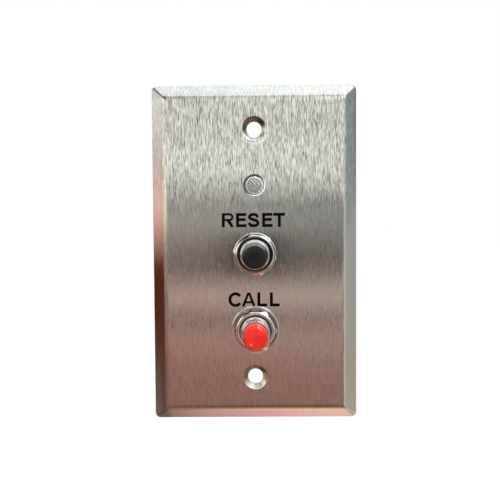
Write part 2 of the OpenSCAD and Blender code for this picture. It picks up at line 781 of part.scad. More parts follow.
// Block of four wire terminals. Each has a chamber for its clamp, a wire window that faces down,
// a hole for the screw's thread and a well for its head.
chamber_w = clamp_w + 2 * stop_gap;
block_low_z = block_z - block_d / 2;
clamp_low_z = clamp_z - clamp_l / 2;
chamber_low_z = clamp_low_z - stop_gap;
chamber_high_z = clamp_z + clamp_l / 2 + stop_gap;
module terminal_block() color("seagreen") difference() {
    span([-block_w / 2, block_w / 2], [board_back_y, block_y], [block_low_z, block_z + block_d / 2]);
    for (p = terminal_places) {
        x = p[0];
        side = chamber_w / 2;
        span([x - side, x + side], [clamp_y - stop_gap, web_y], [chamber_low_z, chamber_high_z]);
        span([x - wire_w / 2, x + wire_w / 2], [clamp_y + clamp_t, strip_y],
            [block_low_z - overrun, chamber_low_z + overrun]);
        span([x - strip_w / 2 - fit, x + strip_w / 2 + fit], [strip_y - fit, strip_y + strip_t + fit],
            [chamber_high_z - overrun, strip_pin_z]);
        along_depth(x, p[1]) bar(strip_w / 2 + fit, board_back_y - overrun, strip_y + strip_t + fit);
        along_depth(x, clamp_z) bar(clamp_screw_d / 2 + slide_gap, web_y - overrun, well_y + overrun);
        along_depth(x, clamp_z) bar(clamp_head_d / 2 + free_gap, well_y, block_y + overrun);
    }
}

// Contact strips: each lies over the wire in its clamp and turns down into a pin through the board
module terminal_pins() color("gold") for (p = terminal_places) {
    span([p[0] - strip_w / 2, p[0] + strip_w / 2], [strip_y, strip_y + strip_t], [clamp_low_z, p[1]]);
    along_depth(p[0], p[1]) bar(strip_w / 2, board_back_y + fit, strip_y + strip_t);
    along_depth(p[0], p[1]) bar(pin_r, board_y - pin_stub, board_back_y + 2 * fit);
}

// Slotted clamp screw, which turns in the block and lifts its clamp
slot_w = clamp_head_d * slot_width_share;
slot_depth = clamp_head_h * recess_depth_share;
module terminal_screw(i) color("silver") along_depth(pole_x(i), clamp_z) difference() {
    turned([
        [0, screw_end_y],
        [clamp_screw_d / 2, screw_end_y],
        [clamp_screw_d / 2, well_y],
        [clamp_head_d / 2, well_y],
        [clamp_head_d / 2, well_y + clamp_head_h],
        [0, well_y + clamp_head_h]
    ]);
    translate([0, 0, well_y + clamp_head_h]) cube([clamp_head_d + overrun, slot_w, 2 * slot_depth], center = true);
}

// Rising clamp: a square metal loop round the strip and the wire, with the screw through its top
module terminal_clamp(i) color("lightgray") difference() {
    x = pole_x(i);
    span([x - clamp_w / 2, x + clamp_w / 2], [clamp_y, clamp_top_y], [clamp_low_z, clamp_z + clamp_l / 2]);
    span([x - wire_w / 2, x + wire_w / 2], [clamp_y + clamp_t, clamp_top_y - clamp_t],
        [clamp_low_z - overrun, clamp_z + clamp_l / 2 + overrun]);
    along_depth(x, clamp_z) bar(clamp_screw_d / 2 + fit, clamp_top_y - clamp_t - overrun, clamp_top_y + overrun);
}

// Small relay on four low feet
relay_y = board_back_y + relay_foot;
module relay() color("ivory") {
    translate([0, board_back_y + relay_h, relay_z]) rotate([90, 0, 0]) linear_extrude(relay_h - relay_foot)
        rounded(relay_w, relay_d, relay_edge_r);
    for (x = [-1, 1], z = [-1, 1])
        along_depth(x * (relay_w / 2 - relay_edge_r), relay_z + z * (relay_d / 2 - relay_edge_r))
            bar(relay_edge_r, board_back_y, relay_y);
}

module relay_pins() color("silver")
    for (p = relay_places) along_depth(p[0], p[1]) bar(lead_r, board_y - pin_stub, relay_y);

// Height of the middle of each axial part above the board's back
axial_y = board_back_y + max(resistor_d, diode_d) / 2 + stop_gap;

// Resistor body with a bulge at each end
bulge_l = resistor_d * bulge_share;
module resistors() color("tan") for (p = resistor_places)
    translate([p[0], axial_y, p[1]]) {
        waist_r = resistor_d / 2 * waist_share;
        cylinder(h = resistor_l, r = waist_r, center = true);
        for (s = [-1, 1]) translate([0, 0, s * (resistor_l - bulge_l) / 2])
            cylinder(h = bulge_l, r = resistor_d / 2, center = true);
    }

module diode() color("black") translate([diode_place[0], axial_y, diode_place[1]])
    cylinder(h = diode_l, r = diode_d / 2, center = true);

// Lead from the end of a part's body, along it, and round a bend down through the board
module bent_lead(place, body_l, s) {
    end = lead_span / 2 - body_l / 2;
    translate([place[0], axial_y, place[1]]) {
        translate([0, 0, s > 0 ? body_l / 2 : -body_l / 2 - end]) cylinder(h = end, r = lead_r);
        translate([0, 0, s * lead_span / 2]) {
            sphere(r = lead_r);
            rotate([90, 0, 0]) cylinder(h = axial_y - board_y + pin_stub, r = lead_r);
        }
    }
}

module component_leads() color("silver") for (s = [-1, 1]) {
    for (p = resistor_places) bent_lead(p, resistor_l, s);
    bent_lead(diode_place, diode_l, s);
}

face_plate();
lens();
lens_retainer();
led();
led_leads();
led_spacer();
weld_studs();
standoffs();
board_screws();
circuit_board();
solder_joints();
reset_button();
reset_bushing();
reset_nut();
reset_washer();
reset_lock_washer();
reset_housing();
reset_base();
reset_contacts();
reset_disc();
reset_clip();
reset_spring();
call_button();
call_bushing();
call_nut();
call_washer();
call_lock_washer();
call_housing();
call_base();
call_contacts();
call_disc();
call_clip();
call_spring();
terminal_block();
terminal_pins();
for (i = terminals) terminal_screw(i);
for (i = terminals) terminal_clamp(i);
relay();
relay_pins();
resistors();
diode();
component_leads();
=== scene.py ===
import math

import bmesh
import bpy
import numpy as np
from mathutils import Matrix, Vector


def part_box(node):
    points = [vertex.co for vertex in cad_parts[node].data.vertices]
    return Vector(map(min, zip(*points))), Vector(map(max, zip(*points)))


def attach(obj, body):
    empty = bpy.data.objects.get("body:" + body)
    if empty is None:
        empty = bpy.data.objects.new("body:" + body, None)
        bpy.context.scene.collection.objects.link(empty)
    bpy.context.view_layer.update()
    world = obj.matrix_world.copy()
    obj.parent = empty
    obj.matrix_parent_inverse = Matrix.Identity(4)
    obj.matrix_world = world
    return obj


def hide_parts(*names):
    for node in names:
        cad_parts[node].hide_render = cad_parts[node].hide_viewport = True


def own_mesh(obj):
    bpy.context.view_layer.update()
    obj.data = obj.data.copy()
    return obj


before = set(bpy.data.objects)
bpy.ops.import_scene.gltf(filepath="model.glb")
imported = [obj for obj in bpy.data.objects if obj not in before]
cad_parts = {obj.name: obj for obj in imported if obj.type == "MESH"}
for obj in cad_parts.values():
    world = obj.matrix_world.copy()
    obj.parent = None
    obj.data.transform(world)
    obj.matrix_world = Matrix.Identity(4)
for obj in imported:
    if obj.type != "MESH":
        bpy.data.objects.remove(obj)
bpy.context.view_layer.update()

mm = 0.001

# Wall plate.
# A single-gang plate pressed from 0.8 mm stainless sheet, brushed upright before it is bent. Its border
# slopes back to the wall with mitred corners, and two dimples take the heads of the box screws.
plate_low, plate_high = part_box("face_plate")
plate_half_w = plate_high.x
plate_half_h = plate_high.z
face_y = plate_low.y
sheet = 0.8 * mm
back_y = face_y + sheet
border_w = 4.85 * mm
lip_h = 0.8 * mm
bend_r = 0.6 * mm
face_bend_r = 2.8 * mm
outer_corner_r = 1.8 * mm
face_corner_r = 0.8 * mm
flat_rim = 0.3 * mm
box_screw_z = 83.34 / 2 * mm
screw_hole_r = 2.5 * mm
dimple_r = 3.6 * mm
dimple_depth = 1.4 * mm
hole_land = 0.5 * mm


class Number:
    """A value that varies over a surface. Arithmetic on it adds the Math node that works it out."""

    def __init__(self, paint, socket):
        self.paint = paint
        self.socket = socket

    def __add__(self, other):
        return self.paint.math("ADD", self, other)

    def __sub__(self, other):
        return self.paint.math("SUBTRACT", self, other)

    def __rsub__(self, other):
        return self.paint.math("SUBTRACT", other, self)

    def __mul__(self, other):
        return self.paint.math("MULTIPLY", self, other)

    def __truediv__(self, other):
        return self.paint.math("DIVIDE", self, other)

    def __pow__(self, other):
        return self.paint.math("POWER", self, other)

    def __abs__(self):
        return self.paint.math("ABSOLUTE", self)

    __radd__ = __add__
    __rmul__ = __mul__


class Nodes:
    """A node tree and the values worked out in it."""

    def __init__(self, tree):
        self.tree = tree

    def feed(self, target, values):
        """Sets or links each socket of a node, named or numbered."""
        for key, value in values.items():
            if isinstance(value, Number):
                self.tree.links.new(value.socket, target.inputs[key])
            else:
                target.inputs[key].default_value = value

    def node(self, kind, settings=None, values=None, output=0):
        """Adds a node: its settings first, then the values or links of its sockets."""
        made = self.tree.nodes.new("ShaderNode" + kind)
        for key, value in (settings or {}).items():
            if key == "stops":
                for _ in value[2:]:
                    made.color_ramp.elements.new(0.5)
                for stop, (place, colour) in zip(made.color_ramp.elements, value):
                    stop.position = place
                    stop.color = (*colour, 1)
            else:
                setattr(made, key, value)
        self.feed(made, values or {})
        return Number(self, made.outputs[output])

    def math(self, operation, a, b=0.0, c=0.0):
        """One Math node."""
        return self.node("Math", {"operation": operation}, {0: a, 1: b, 2: c})

    def place(self):
        """Object coordinates, in metres."""
        return self.node("TexCoord", output=3)

    def axis(self, letter):
        """One coordinate of the place."""
        return self.node("SeparateXYZ", values={0: self.place()}, output="XYZ".index(letter))

    def from_line(self, x, z):
        """The distance from the line along Y at x, z."""
        return self.math("SQRT", (self.axis("X") - x) ** 2 + (self.axis("Z") - z) ** 2)

    def noise(self, *grain, detail=2.0, roughness=0.5, shift=0.0):
        """Noise from about 0.3 to 0.7. Its grains have one length in metres, or one along each axis."""
        lengths = grain if len(grain) == 3 else grain * 3
        scaled = self.node("Mapping", values={
            "Vector": self.place(), "Scale": [1 / length for length in lengths], "Location": [shift] * 3})
        return self.node("TexNoise", values={
            "Vector": scaled, "Scale": 1.0, "Detail": detail, "Roughness": roughness})

    def ramp(self, value, low, high):
        """0 below low, 1 above high and even between."""
        return self.node("MapRange", {"clamp": True}, {0: value, 1: low, 2: high})

    def mix(self, share, a, b):
        """Colour a where share is 0 and colour b where it is 1."""
        colours = {key: (*c, 1) if isinstance(c, tuple) else c for key, c in ((6, a), (7, b))}
        return self.node("Mix", {"data_type": "RGBA"}, {0: share, **colours}, output=2)

    def shade(self, colour, factor):
        """A colour, lighter or darker by a factor."""
        colour = (*colour, 1) if isinstance(colour, tuple) else colour
        grey = self.node("CombineColor", values={0: factor, 1: factor, 2: factor})
        settings = {"data_type": "RGBA", "blend_type": "MULTIPLY"}
        return self.node("Mix", settings, {0: 1.0, 6: colour, 7: grey}, output=2)

    def bump(self, height, depth):
        """Normals of a relief that is height times depth metres deep."""
        return self.node("Bump", values={"Height": height, "Distance": depth, "Strength": 1.0})


class Paint(Nodes):
    """One finish: a Principled shader whose constants are set at once and whose varying inputs are added."""

    def __init__(self, name, **constants):
        self.material = bpy.data.materials.new(name)
        self.material.use_nodes = True
        super().__init__(self.material.node_tree)
        self.shader = self.tree.nodes["Principled BSDF"]
        self.vary(**constants)

    def vary(self, **inputs):
        """Sets or links the shader's sockets, an underscore standing for a space."""
        self.feed(self.shader, {key.replace("_", " "): value for key, value in inputs.items()})
        return self


def grid(points, wrap_u=False, wrap_v=False):
    """Vertices and quads of a surface given on a grid [u, v, xyz], joined end to end where it wraps."""
    rows, columns = points.shape[:2]
    index = np.arange(rows * columns).reshape(rows, columns)
    u = np.append(np.arange(rows), 0) if wrap_u else np.arange(rows)
    v = np.append(np.arange(columns), 0) if wrap_v else np.arange(columns)
    index = index[u][:, v]
    quads = np.stack([index[:-1, :-1], index[1:, :-1], index[1:, 1:], index[:-1, 1:]], -1)
    return points.reshape(-1, 3), quads.reshape(-1, 4)


def revolve(profile, z=0.0, x=0.0, turns=96, closed=True):
    """A profile of (radius, y) points turned round the line along Y at x, z: x + r cos a, y, z + r sin a."""
    r, y = np.array(profile, float).T[:2, :, None]
    a = np.linspace(0, 2 * np.pi, turns, endpoint=False)[None]
    points = np.stack([x + r * np.cos(a), y + 0 * a, z + r * np.sin(a)], -1)
    return grid(points, wrap_u=closed, wrap_v=True)


def arc(cx, cy, r, from_deg, to_deg, steps=8):
    """Points of an arc: the centre plus r times (cos a, sin a), with a in even steps."""
    a = np.radians(np.linspace(from_deg, to_deg, steps + 1))
    return np.stack([cx + r * np.cos(a), cy + r * np.sin(a)], -1)


def filleted(points, steps=5, loop=True):
    """A profile whose third number at each corner is the radius that rounds it. The arc touches each side at
    the radius over the tangent of half the corner's angle, and a point just beyond keeps the side flat."""
    p = np.array([q[:2] for q in points], float)
    made = []
    for i, q in enumerate(points):
        radius = q[2] if len(q) > 2 else 0
        if radius == 0 or (not loop and i in (0, len(points) - 1)):
            made.append(p[i][None])
            continue
        a = p[i - 1] - p[i]
        b = p[(i + 1) % len(points)] - p[i]
        shorter = min(np.linalg.norm(a), np.linalg.norm(b))
        a = a / np.linalg.norm(a)
        b = b / np.linalg.norm(b)
        half = np.arccos(np.clip(a @ b, -1, 1)) / 2
        reach = min(radius / np.tan(half), 0.45 * shorter)
        hold = min(0.02 * mm, 0.04 * shorter)
        t = np.linspace(0, 1, steps + 1)[:, None]
        centre = p[i] + (a + b) / np.linalg.norm(a + b) * reach / np.cos(half)
        spread = (1 - t) * (p[i] + a * reach - centre) + t * (p[i] + b * reach - centre)
        made.append([p[i] + a * (reach + hold)])
        made.append(centre + spread / np.linalg.norm(spread, axis=1)[:, None] * reach * np.tan(half))
        made.append([p[i] + b * (reach + hold)])
    return np.concatenate(made)


def outline(half_w, half_h, r, steps=8):
    """A rectangle with round corners: four quarter circles, joined by straight sides."""
    corners = [(1, 1, 0), (-1, 1, 90), (-1, -1, 180), (1, -1, 270)]
    return np.concatenate([
        arc(sx * (half_w - r), sz * (half_h - r), r, start, start + 90, steps) for sx, sz, start in corners])


def mesh(surfaces, sharp_deg=32, fill_at=()):
    """One mesh from several surfaces: their common points merged, each flat rim at a depth in fill_at filled,
    normals outward, and edges left sharp where the surface turns by more than sharp_deg."""
    same_place = 2e-7
    built = bmesh.new()
    for points, faces in surfaces:
        vertices = [built.verts.new(p) for p in points.tolist()]
        for face in faces.tolist():
            built.faces.new([vertices[i] for i in face])
    bmesh.ops.remove_doubles(built, verts=built.verts, dist=same_place)
    for depth in fill_at:
        rim = [e for e in built.edges
               if e.is_boundary and all(abs(v.co.y - depth) < same_place for v in e.verts)]
        bmesh.ops.triangle_fill(built, use_beauty=True, edges=rim)
    bmesh.ops.recalc_face_normals(built, faces=built.faces)
    data = bpy.data.meshes.new("surface")
    built.to_mesh(data)
    built.free()
    data.shade_smooth()
    data.set_sharp_from_angle(angle=math.radians(sharp_deg))
    return data


def piece(name, data, paint, body="station", replaces=None):
    """A finished piece in its finish, riding on its body and standing for its CAD node."""
    data.name = name
    made = bpy.data.objects.new(name, data)
    bpy.context.scene.collection.objects.link(made)
    data.materials.append(paint.material)
    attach(made, body)
    if replaces:
        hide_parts(replaces)
    return made


def carried(profile, half_w, half_h, corner_r, z=0.0):
    """A profile of (inset, y) carried round a rectangle with round corners at height z: the outline is
    smaller by the inset, and corner_r gives the radius of its corners there."""
    rows = []
    for inset, y in profile:
        line = outline(half_w - inset, half_h - inset, corner_r(inset))
        rows.append(np.stack([line[:, 0], 0 * line[:, 0] + y, z + line[:, 1]], -1))
    return grid(np.array(rows), wrap_v=True)


def border_profile(inset):
    """The border from the face to the rear rim as (distance from the outer edge, y): an arc from the face
    into the slope, an arc from the slope into the upright edge, then the rim. Inset is 0 outside and the
    sheet's thickness inside."""
    slope = math.degrees(math.atan2(-face_y - lip_h, border_w))
    outer_r = bend_r + sheet
    face_r = face_bend_r + sheet
    face_bend = (border_w + face_r * math.tan(math.radians(slope / 2)), face_y + face_r)
    edge_bend = (outer_r, outer_r * math.tan(math.radians((90 - slope) / 2)) - lip_h)
    flat = face_bend[0] + flat_rim
    return np.concatenate([
        [[flat, face_y + inset]],
        arc(*face_bend, face_r - inset, -90, -90 - slope, 12),
        arc(*edge_bend, outer_r - inset, -90 - slope, -180, 10),
        [[inset, 0.0]]])


def border_corner_r(distance):
    """The radius of the border's corners, which shrinks evenly from the outer edge to the face."""
    return outer_corner_r + (face_corner_r - outer_corner_r) * np.clip(distance / border_w, 0, 1)


def dimple_profile():
    """A pressed dimple as (radius, y): out of the face round a soft edge, down a cone to the hole, through
    it, and back up behind the sheet."""
    foot_r = dimple_r + 1.2 * mm
    floor_y = face_y + dimple_depth
    end_y = floor_y + hole_land
    return filleted([
        (foot_r, face_y), (dimple_r + 0.25 * mm, face_y, 1.1 * mm), (screw_hole_r, floor_y, 0.5 * mm),
        (screw_hole_r, end_y, 0.1 * mm), (screw_hole_r + sheet, end_y, 0.1 * mm),
        (dimple_r + sheet / 2, back_y, 0.4 * mm), (foot_r, back_y)], steps=8, loop=False)


lamp_z = sum(p.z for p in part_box("lens")) / 2
switch_z = {name: sum(p.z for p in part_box(name + "_button")) / 2 for name in ("reset", "call")}
lens_hole_r = 3.15 * mm
bushing_hole_r = 5.15 * mm
plate_surfaces = [carried(np.concatenate([border_profile(0), border_profile(sheet)[::-1]]),
                          plate_half_w, plate_half_h, border_corner_r)]
plate_surfaces += [revolve(dimple_profile(), z=s * box_screw_z, closed=False) for s in (-1, 1)]
for hole_r, z in ((lens_hole_r, lamp_z), *((bushing_hole_r, z) for z in switch_z.values())):
    plate_surfaces.append(revolve([(hole_r, face_y), (hole_r, back_y)], z=z, closed=False))

# The brushed grain runs upright: long thin streaks, lighter and darker, with finer ones between them.
steel_colour = (0.60, 0.60, 0.545)
steel = Paint("brushed_stainless", Metallic=1.0, Anisotropic=0.8)
coarse = steel.noise(0.8 * mm, 6 * mm, 8 * mm, detail=2, roughness=0.6)
fine = steel.noise(0.29 * mm, 3 * mm, 2.9 * mm, detail=2, roughness=0.6, shift=7)
hair = steel.noise(0.17 * mm, 2 * mm, 1.9 * mm, detail=1, roughness=0.6, shift=3)
streaks = coarse * 0.14 + fine * 0.46 + hair * 0.40 - 0.5
aside = steel.axis("X")
height = steel.axis("Z")
# They show most on the face, from the lamp upward.
strength = steel.ramp(height, 14 * mm, 24 * mm) * 0.75 + 0.25
strength = strength * (steel.ramp(steel.axis("Y"), face_y + 0.7 * mm, face_y + 0.1 * mm) * 0.6 + 0.4)
# The punch left the dimples rough. A painted shade darkens their upper walls and a painted highlight
# brightens their lower walls, and the right side of each is painted darker.
hole_z = steel.math("SIGN", height) * box_screw_z
above_hole = height - hole_z
past_dimple = steel.from_line(0.0, hole_z) - dimple_r
punched = steel.ramp(past_dimple, 0.6 * mm, 0.1 * mm)
upper_left = above_hole - aside * 0.35
dimple_painted_light = punched * (0.95 - steel.ramp(upper_left, -1.8 * mm, 1.2 * mm) * 1.6)
dimple_painted_light = dimple_painted_light - punched * steel.ramp(aside, 1.2 * mm, 3.0 * mm) * 0.25
# A soft painted highlight rings the upper dimple just beyond it, brightest at its lower right.
ring = steel.ramp(past_dimple, 0.7 * mm, 1.2 * mm) * steel.ramp(past_dimple, 2.0 * mm, 1.4 * mm)
ring = ring * steel.ramp(upper_left, 2 * mm, -4 * mm) * steel.ramp(height, -1 * mm, 1 * mm)
# Along the top bend the steel is rougher and painted a little darker, a painted shade, more so to the left.
past_face = height - (plate_half_h - border_w)
top_bend = steel.ramp(past_face, -0.4 * mm, 0.3 * mm) * steel.ramp(past_face, 2.5 * mm, 1.3 * mm)
top_bend = top_bend * (steel.ramp(aside, 12 * mm, -10 * mm) * 0.6 + 0.4)
# At its top the right slope is painted lighter beside the face and darker at its outer edge: painted
# reflection.
beside_face = steel.ramp(aside, 29.5 * mm, 30.0 * mm) * steel.ramp(aside, 31.2 * mm, 30.6 * mm)
outer_edge = steel.ramp(aside, 33.2 * mm, 34.4 * mm)
right_slope = (beside_face * 0.2 - outer_edge * 0.3) * steel.ramp(height, 15 * mm, 48 * mm)
paler = right_slope - top_bend * 0.08 + ring * 0.35
# The dimples' walls are a little yellower. The left bend is painted brown towards its foot, and so are the
# lower dimple's walls above their lowest part: painted reflection.
left_bend_painted_reflection = steel.ramp(aside, -28.8 * mm, -30.4 * mm) * steel.ramp(aside, -33.4 * mm, -31.6 * mm)
left_bend_painted_reflection = left_bend_painted_reflection * steel.ramp(height, -26 * mm, -40 * mm)
lower_dimple_painted_reflection = punched * steel.ramp(height, 1 * mm, -1 * mm) * steel.ramp(above_hole, -2.2 * mm, -0.8 * mm)
steel_tint_and_painted_reflection = steel.mix(punched, steel_colour, (0.60, 0.565, 0.49))
steel_tint_and_painted_reflection = steel.mix(lower_dimple_painted_reflection, steel_tint_and_painted_reflection, (0.58, 0.43, 0.33))
steel_tint_and_painted_reflection = steel.mix(left_bend_painted_reflection, steel_tint_and_painted_reflection, (0.50, 0.39, 0.325))


def scratch(x, z, end_x, end_z, light):
    """A scratch's light: all of it along the line between two places, none beyond 0.09 mm from it."""
    length = math.hypot(end_x - x, end_z - z)
    run_x = (end_x - x) / length
    run_z = (end_z - z) / length
    from_x = aside - x
    from_z = height - z
    across = abs(from_z * run_x - from_x * run_z)
    along = from_x * run_x + from_z * run_z
    ends = steel.ramp(along, 0.0, 0.5 * mm) * steel.ramp(along, length, length - 0.5 * mm)
    return steel.ramp(across, 0.09 * mm, 0.03 * mm) * ends * light


# Fine scratches lie round the reset switch, where fingers and tools have been: two places in mm and the
# light of each.
scratches = 0.0
for *places, light in (
        (-12.6, -3.2, -8.4, -3.8, 0.55), (-12.8, 3.5, -6.6, 3.9, 0.25), (11.2, -4.4, 12.8, -4.5, 0.5),
        (11.4, 0.4, 12.6, 0.4, 0.3), (3.6, -10.5, 4.3, -11.4, 0.5), (2.0, 7.6, 3.6, 7.4, 0.35),
        (-3.2, 23.4, -9.6, 21.0, 0.12), (5.0, -16.9, 9.6, -18.2, 0.3), (-10.5, -15.6, -6.4, -16.9, 0.22)):
    scratches = scratch(*(v * mm for v in places), light) + scratches
steel_light = (streaks * strength * 5.1 + 1.0) * (dimple_painted_light + 1.0 + paler) + scratches
steel.vary(
    Base_Color=steel.shade(steel_tint_and_painted_reflection, steel_light),
    Roughness=streaks * 0.25 + 0.17 + punched * 0.12 + top_bend * 0.06,
    Normal=steel.bump(fine * 0.6 + hair * 0.4, 0.006 * mm))
piece("wall_plate", mesh(plate_surfaces, fill_at=(face_y, back_y)), steel,
      replaces="face_plate")

# Lettering.
# The two function words, screen printed on the face above the switches in black enamel, in a plain bold sans
# letter.
letter_h = 4.7 * mm
ink_thickness = 0.02 * mm
# The letters are drawn from their lower left corner in shares of their height, and so is the stroke's width.
stroke = 0.21


def ribbon(path, width):
    """A stroke's outline: its path moved half the width to either side, square to the path's run there."""
    path = np.array(path, float)
    run = np.gradient(path, axis=0)
    side = np.stack([-run[:, 1], run[:, 0]], -1) / np.linalg.norm(run, axis=1)[:, None] * width / 2
    return np.concatenate([path + side, (path - side)[::-1]])


def flowing(points, steps=6):
    """A curve through points: each span is the cubic that leaves and reaches its ends along the line between
    their neighbours."""
    p = np.array(points, float)
    p = np.concatenate([[2 * p[0] - p[1]], p, [2 * p[-1] - p[-2]]])
    a, b, c, d = (p[i:len(p) - 3 + i, None] for i in range(4))
    t = np.linspace(0, 1, steps, endpoint=False)[None, :, None]
    spans = 0.5 * (2 * b + (c - a) * t + (2 * a - 5 * b + 4 * c - d) * t ** 2
                   + (3 * b - a - 3 * c + d) * t ** 3)
    return np.concatenate([spans.reshape(-1, 2), p[-2:-1]])


letters = {
    "R": [np.concatenate([
              [(0, 0), (stroke, 0), (stroke, 0.44), (0.34, 0.44), (0.65, 0), (0.86, 0)],
              arc(0.55, 0.72, 0.28, -76, 90, 12), [(0, 1)]]),
          np.concatenate([[(stroke, 0.59)], arc(0.55, 0.715, 0.125, -90, 90, 10), [(stroke, 0.84)]])],
    "E": [[(0, 0), (0.74, 0), (0.74, stroke), (stroke, stroke), (stroke, 0.43), (0.68, 0.43),
           (0.68, 0.43 + stroke), (stroke, 0.43 + stroke), (stroke, 1 - stroke), (0.72, 1 - stroke),
           (0.72, 1), (0, 1)]],
    "S": [ribbon(flowing([
        (0.70, 0.70), (0.61, 0.85), (0.41, 0.90), (0.20, 0.85), (0.12, 0.725), (0.21, 0.60), (0.41, 0.525),
        (0.62, 0.45), (0.72, 0.285), (0.63, 0.145), (0.40, 0.10), (0.18, 0.155), (0.09, 0.31)]), stroke)],
    "T": [[(0.34, 0), (0.34 + stroke, 0), (0.34 + stroke, 1 - stroke), (0.845, 1 - stroke), (0.845, 1),
           (0, 1), (0, 1 - stroke), (0.34, 1 - stroke)]],
    "C": [ribbon(np.array([0.49, 0.5]) + np.array([0.40, 0.42]) * arc(0, 0, 1, 36, 324, 32), stroke)],
    "A": [[(0, 0), (0.2, 0), (0.285, 0.23), (0.715, 0.23), (0.8, 0), (1, 0), (0.605, 1), (0.395, 1)],
          [(0.34, 0.38), (0.66, 0.38), (0.5, 0.82)]],
    "L": [[(0, 0), (0.7, 0), (0.7, stroke), (stroke, stroke), (stroke, 1), (0, 1)]]}


def printed(name, colour, grain, **constants):
    """Printing ink: one colour with lighter and darker grains."""
    paint = Paint(name, **constants)
    return paint.vary(Base_Color=paint.shade(colour, paint.noise(grain) + 0.5))


ink = printed("black_enamel", (0.003, 0.003, 0.003), 0.4 * mm, Roughness=0.5, Specular_IOR_Level=0.02)


def inlay(figures, top_y, base_y):
    """A thin layer between two depths. Each figure is filled inside its first outline and outside the
    others."""
    built = bmesh.new()
    for figure in figures:
        edges = []
        for loop in figure:
            corners = [built.verts.new((x, top_y, z)) for x, z in np.array(loop, float).tolist()]
            edges += [built.edges.new((corners[i - 1], corners[i])) for i in range(len(corners))]
        bmesh.ops.triangle_fill(built, use_beauty=True, edges=edges)
    raised = bmesh.ops.extrude_face_region(built, geom=built.faces[:])
    rear = [v for v in raised["geom"] if isinstance(v, bmesh.types.BMVert)]
    bmesh.ops.translate(built, verts=rear, vec=(0, base_y - top_y, 0))
    bmesh.ops.recalc_face_normals(built, faces=built.faces)
    data = bpy.data.meshes.new("inlay")
    built.to_mesh(data)
    built.free()
    return data


def word(text, left, starts, baseline_z):
    """A word from its left end on, its letters starting at places along the baseline, its ink on the face."""
    figures = [[np.array(loop, float) * letter_h + [left + start, baseline_z] for loop in letters[letter]]
               for letter, start in zip(text, starts)]
    piece("word_" + text.lower(), inlay(figures, face_y - ink_thickness, face_y), ink)


word("RESET", -10.95 * mm, [0, 4.75 * mm, 8.66 * mm, 13.45 * mm, 17.1 * mm], switch_z["reset"] + 8.93 * mm)
word("CALL", -8.9 * mm, [0, 4.4 * mm, 9.65 * mm, 13.85 * mm], switch_z["call"] + 7.7 * mm)

# Lamp.
# A clear moulded lens pushed through the face from the front, with a flat bright rim round a domed window,
# and behind it the lamp, held on the board by a nylon tube.
lens_low, lens_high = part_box("lens")
lens_r = lens_high.x
lens_rim_h = 0.9 * mm
lens_rim_w = 0.9 * mm
lens_rim_y = face_y - lens_rim_h
window_r = lens_r - lens_rim_w
barrel_r = 3.1 * mm
lens_bore_r = 2.65 * mm
dome_h = lens_rim_y - lens_low.y
dome_r = (window_r ** 2 + dome_h ** 2) / (2 * dome_h)
dome_deg = math.degrees(math.asin(window_r / dome_r))
lens_profile = np.concatenate([
    arc(0, lens_low.y + dome_r, dome_r, -90, dome_deg - 90, 24),
    filleted([(window_r + 0.08 * mm, lens_rim_y + 0.12 * mm), (lens_r, lens_rim_y, 0.25 * mm),
              (lens_r, face_y), (barrel_r, face_y), (barrel_r, lens_high.y), (lens_bore_r, lens_high.y),
              (lens_bore_r, face_y, 0.3 * mm), (0.0, face_y)], loop=False)])
# The moulded ribs inside it wave across the window. On the rim a painted shade lies above left and a painted
# highlight below right.
clear = Paint("clear_moulding", Transmission_Weight=0.35, IOR=1.49, Specular_IOR_Level=0.6)
rib_pitch = 0.84 * mm
diagonal = 1.41
lens_x = clear.axis("X")
lens_z = clear.axis("Z")
across_ribs = (lens_x + lens_z) / (diagonal * rib_pitch) + clear.noise(2.6 * mm, 2 * mm, 1.6 * mm) * 1.1
ribs = clear.math("SINE", across_ribs * 2 * math.pi)
swirl = clear.noise(1.1 * mm, 2 * mm, 1.1 * mm, detail=3, shift=2)
from_lamp = clear.from_line(0.0, lamp_z)
on_rim = clear.ramp(from_lamp, window_r, window_r + 0.12 * mm)
inner_line = clear.ramp(from_lamp, window_r - 0.35 * mm, window_r - 0.2 * mm) * (1.0 - on_rim)
lower_right = (lens_x - lens_z + lamp_z) / (lens_r * diagonal)
lit_from = window_r + 0.85 * mm - clear.ramp(lower_right, -0.45, 0.6) * (0.5 * mm)
lit = clear.ramp(from_lamp - lit_from, -0.08 * mm, 0.08 * mm) * clear.ramp(lower_right, -0.35, 0.45)
rim_tone = lit * 1.15 + 0.13 + clear.ramp(lower_right, -0.2, 0.8) * 0.2
window_tone = ribs * 0.22 + swirl * 0.7 + 0.16 + inner_line * 0.8
clear.vary(
    Base_Color=clear.shade((0.95, 0.97, 0.91), window_tone * (1.0 - on_rim) + rim_tone * on_rim),
    Roughness=swirl * 0.1 + 0.06,
    Normal=clear.bump(ribs * (1.0 - on_rim), 0.03 * mm))
piece("lamp_lens", mesh([revolve(lens_profile, z=lamp_z)]), clear, replaces="lens")


def dress(paint, *nodes):
    """Gives CAD nodes, whose shape stays, their finish."""
    for name in nodes:
        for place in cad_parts[name].material_slots:
            place.material = paint.material


def metal(name, colour, worn, rough, *grain):
    """Metal marked along its grain, whose gloss varies with the marks, with duller patches a few mm wide."""
    paint = Paint(name, Metallic=1.0)
    marks = paint.noise(*grain, detail=3, roughness=0.6)
    patches = paint.ramp(paint.noise(2.4 * mm, detail=2, shift=4), 0.42, 0.62)
    return paint.vary(
        Base_Color=paint.shade(paint.mix(patches, colour, worn), marks * 0.5 + 0.75),
        Roughness=marks * 0.3 + patches * 0.08 + (rough - 0.15),
        Normal=paint.bump(marks, 0.008 * mm))


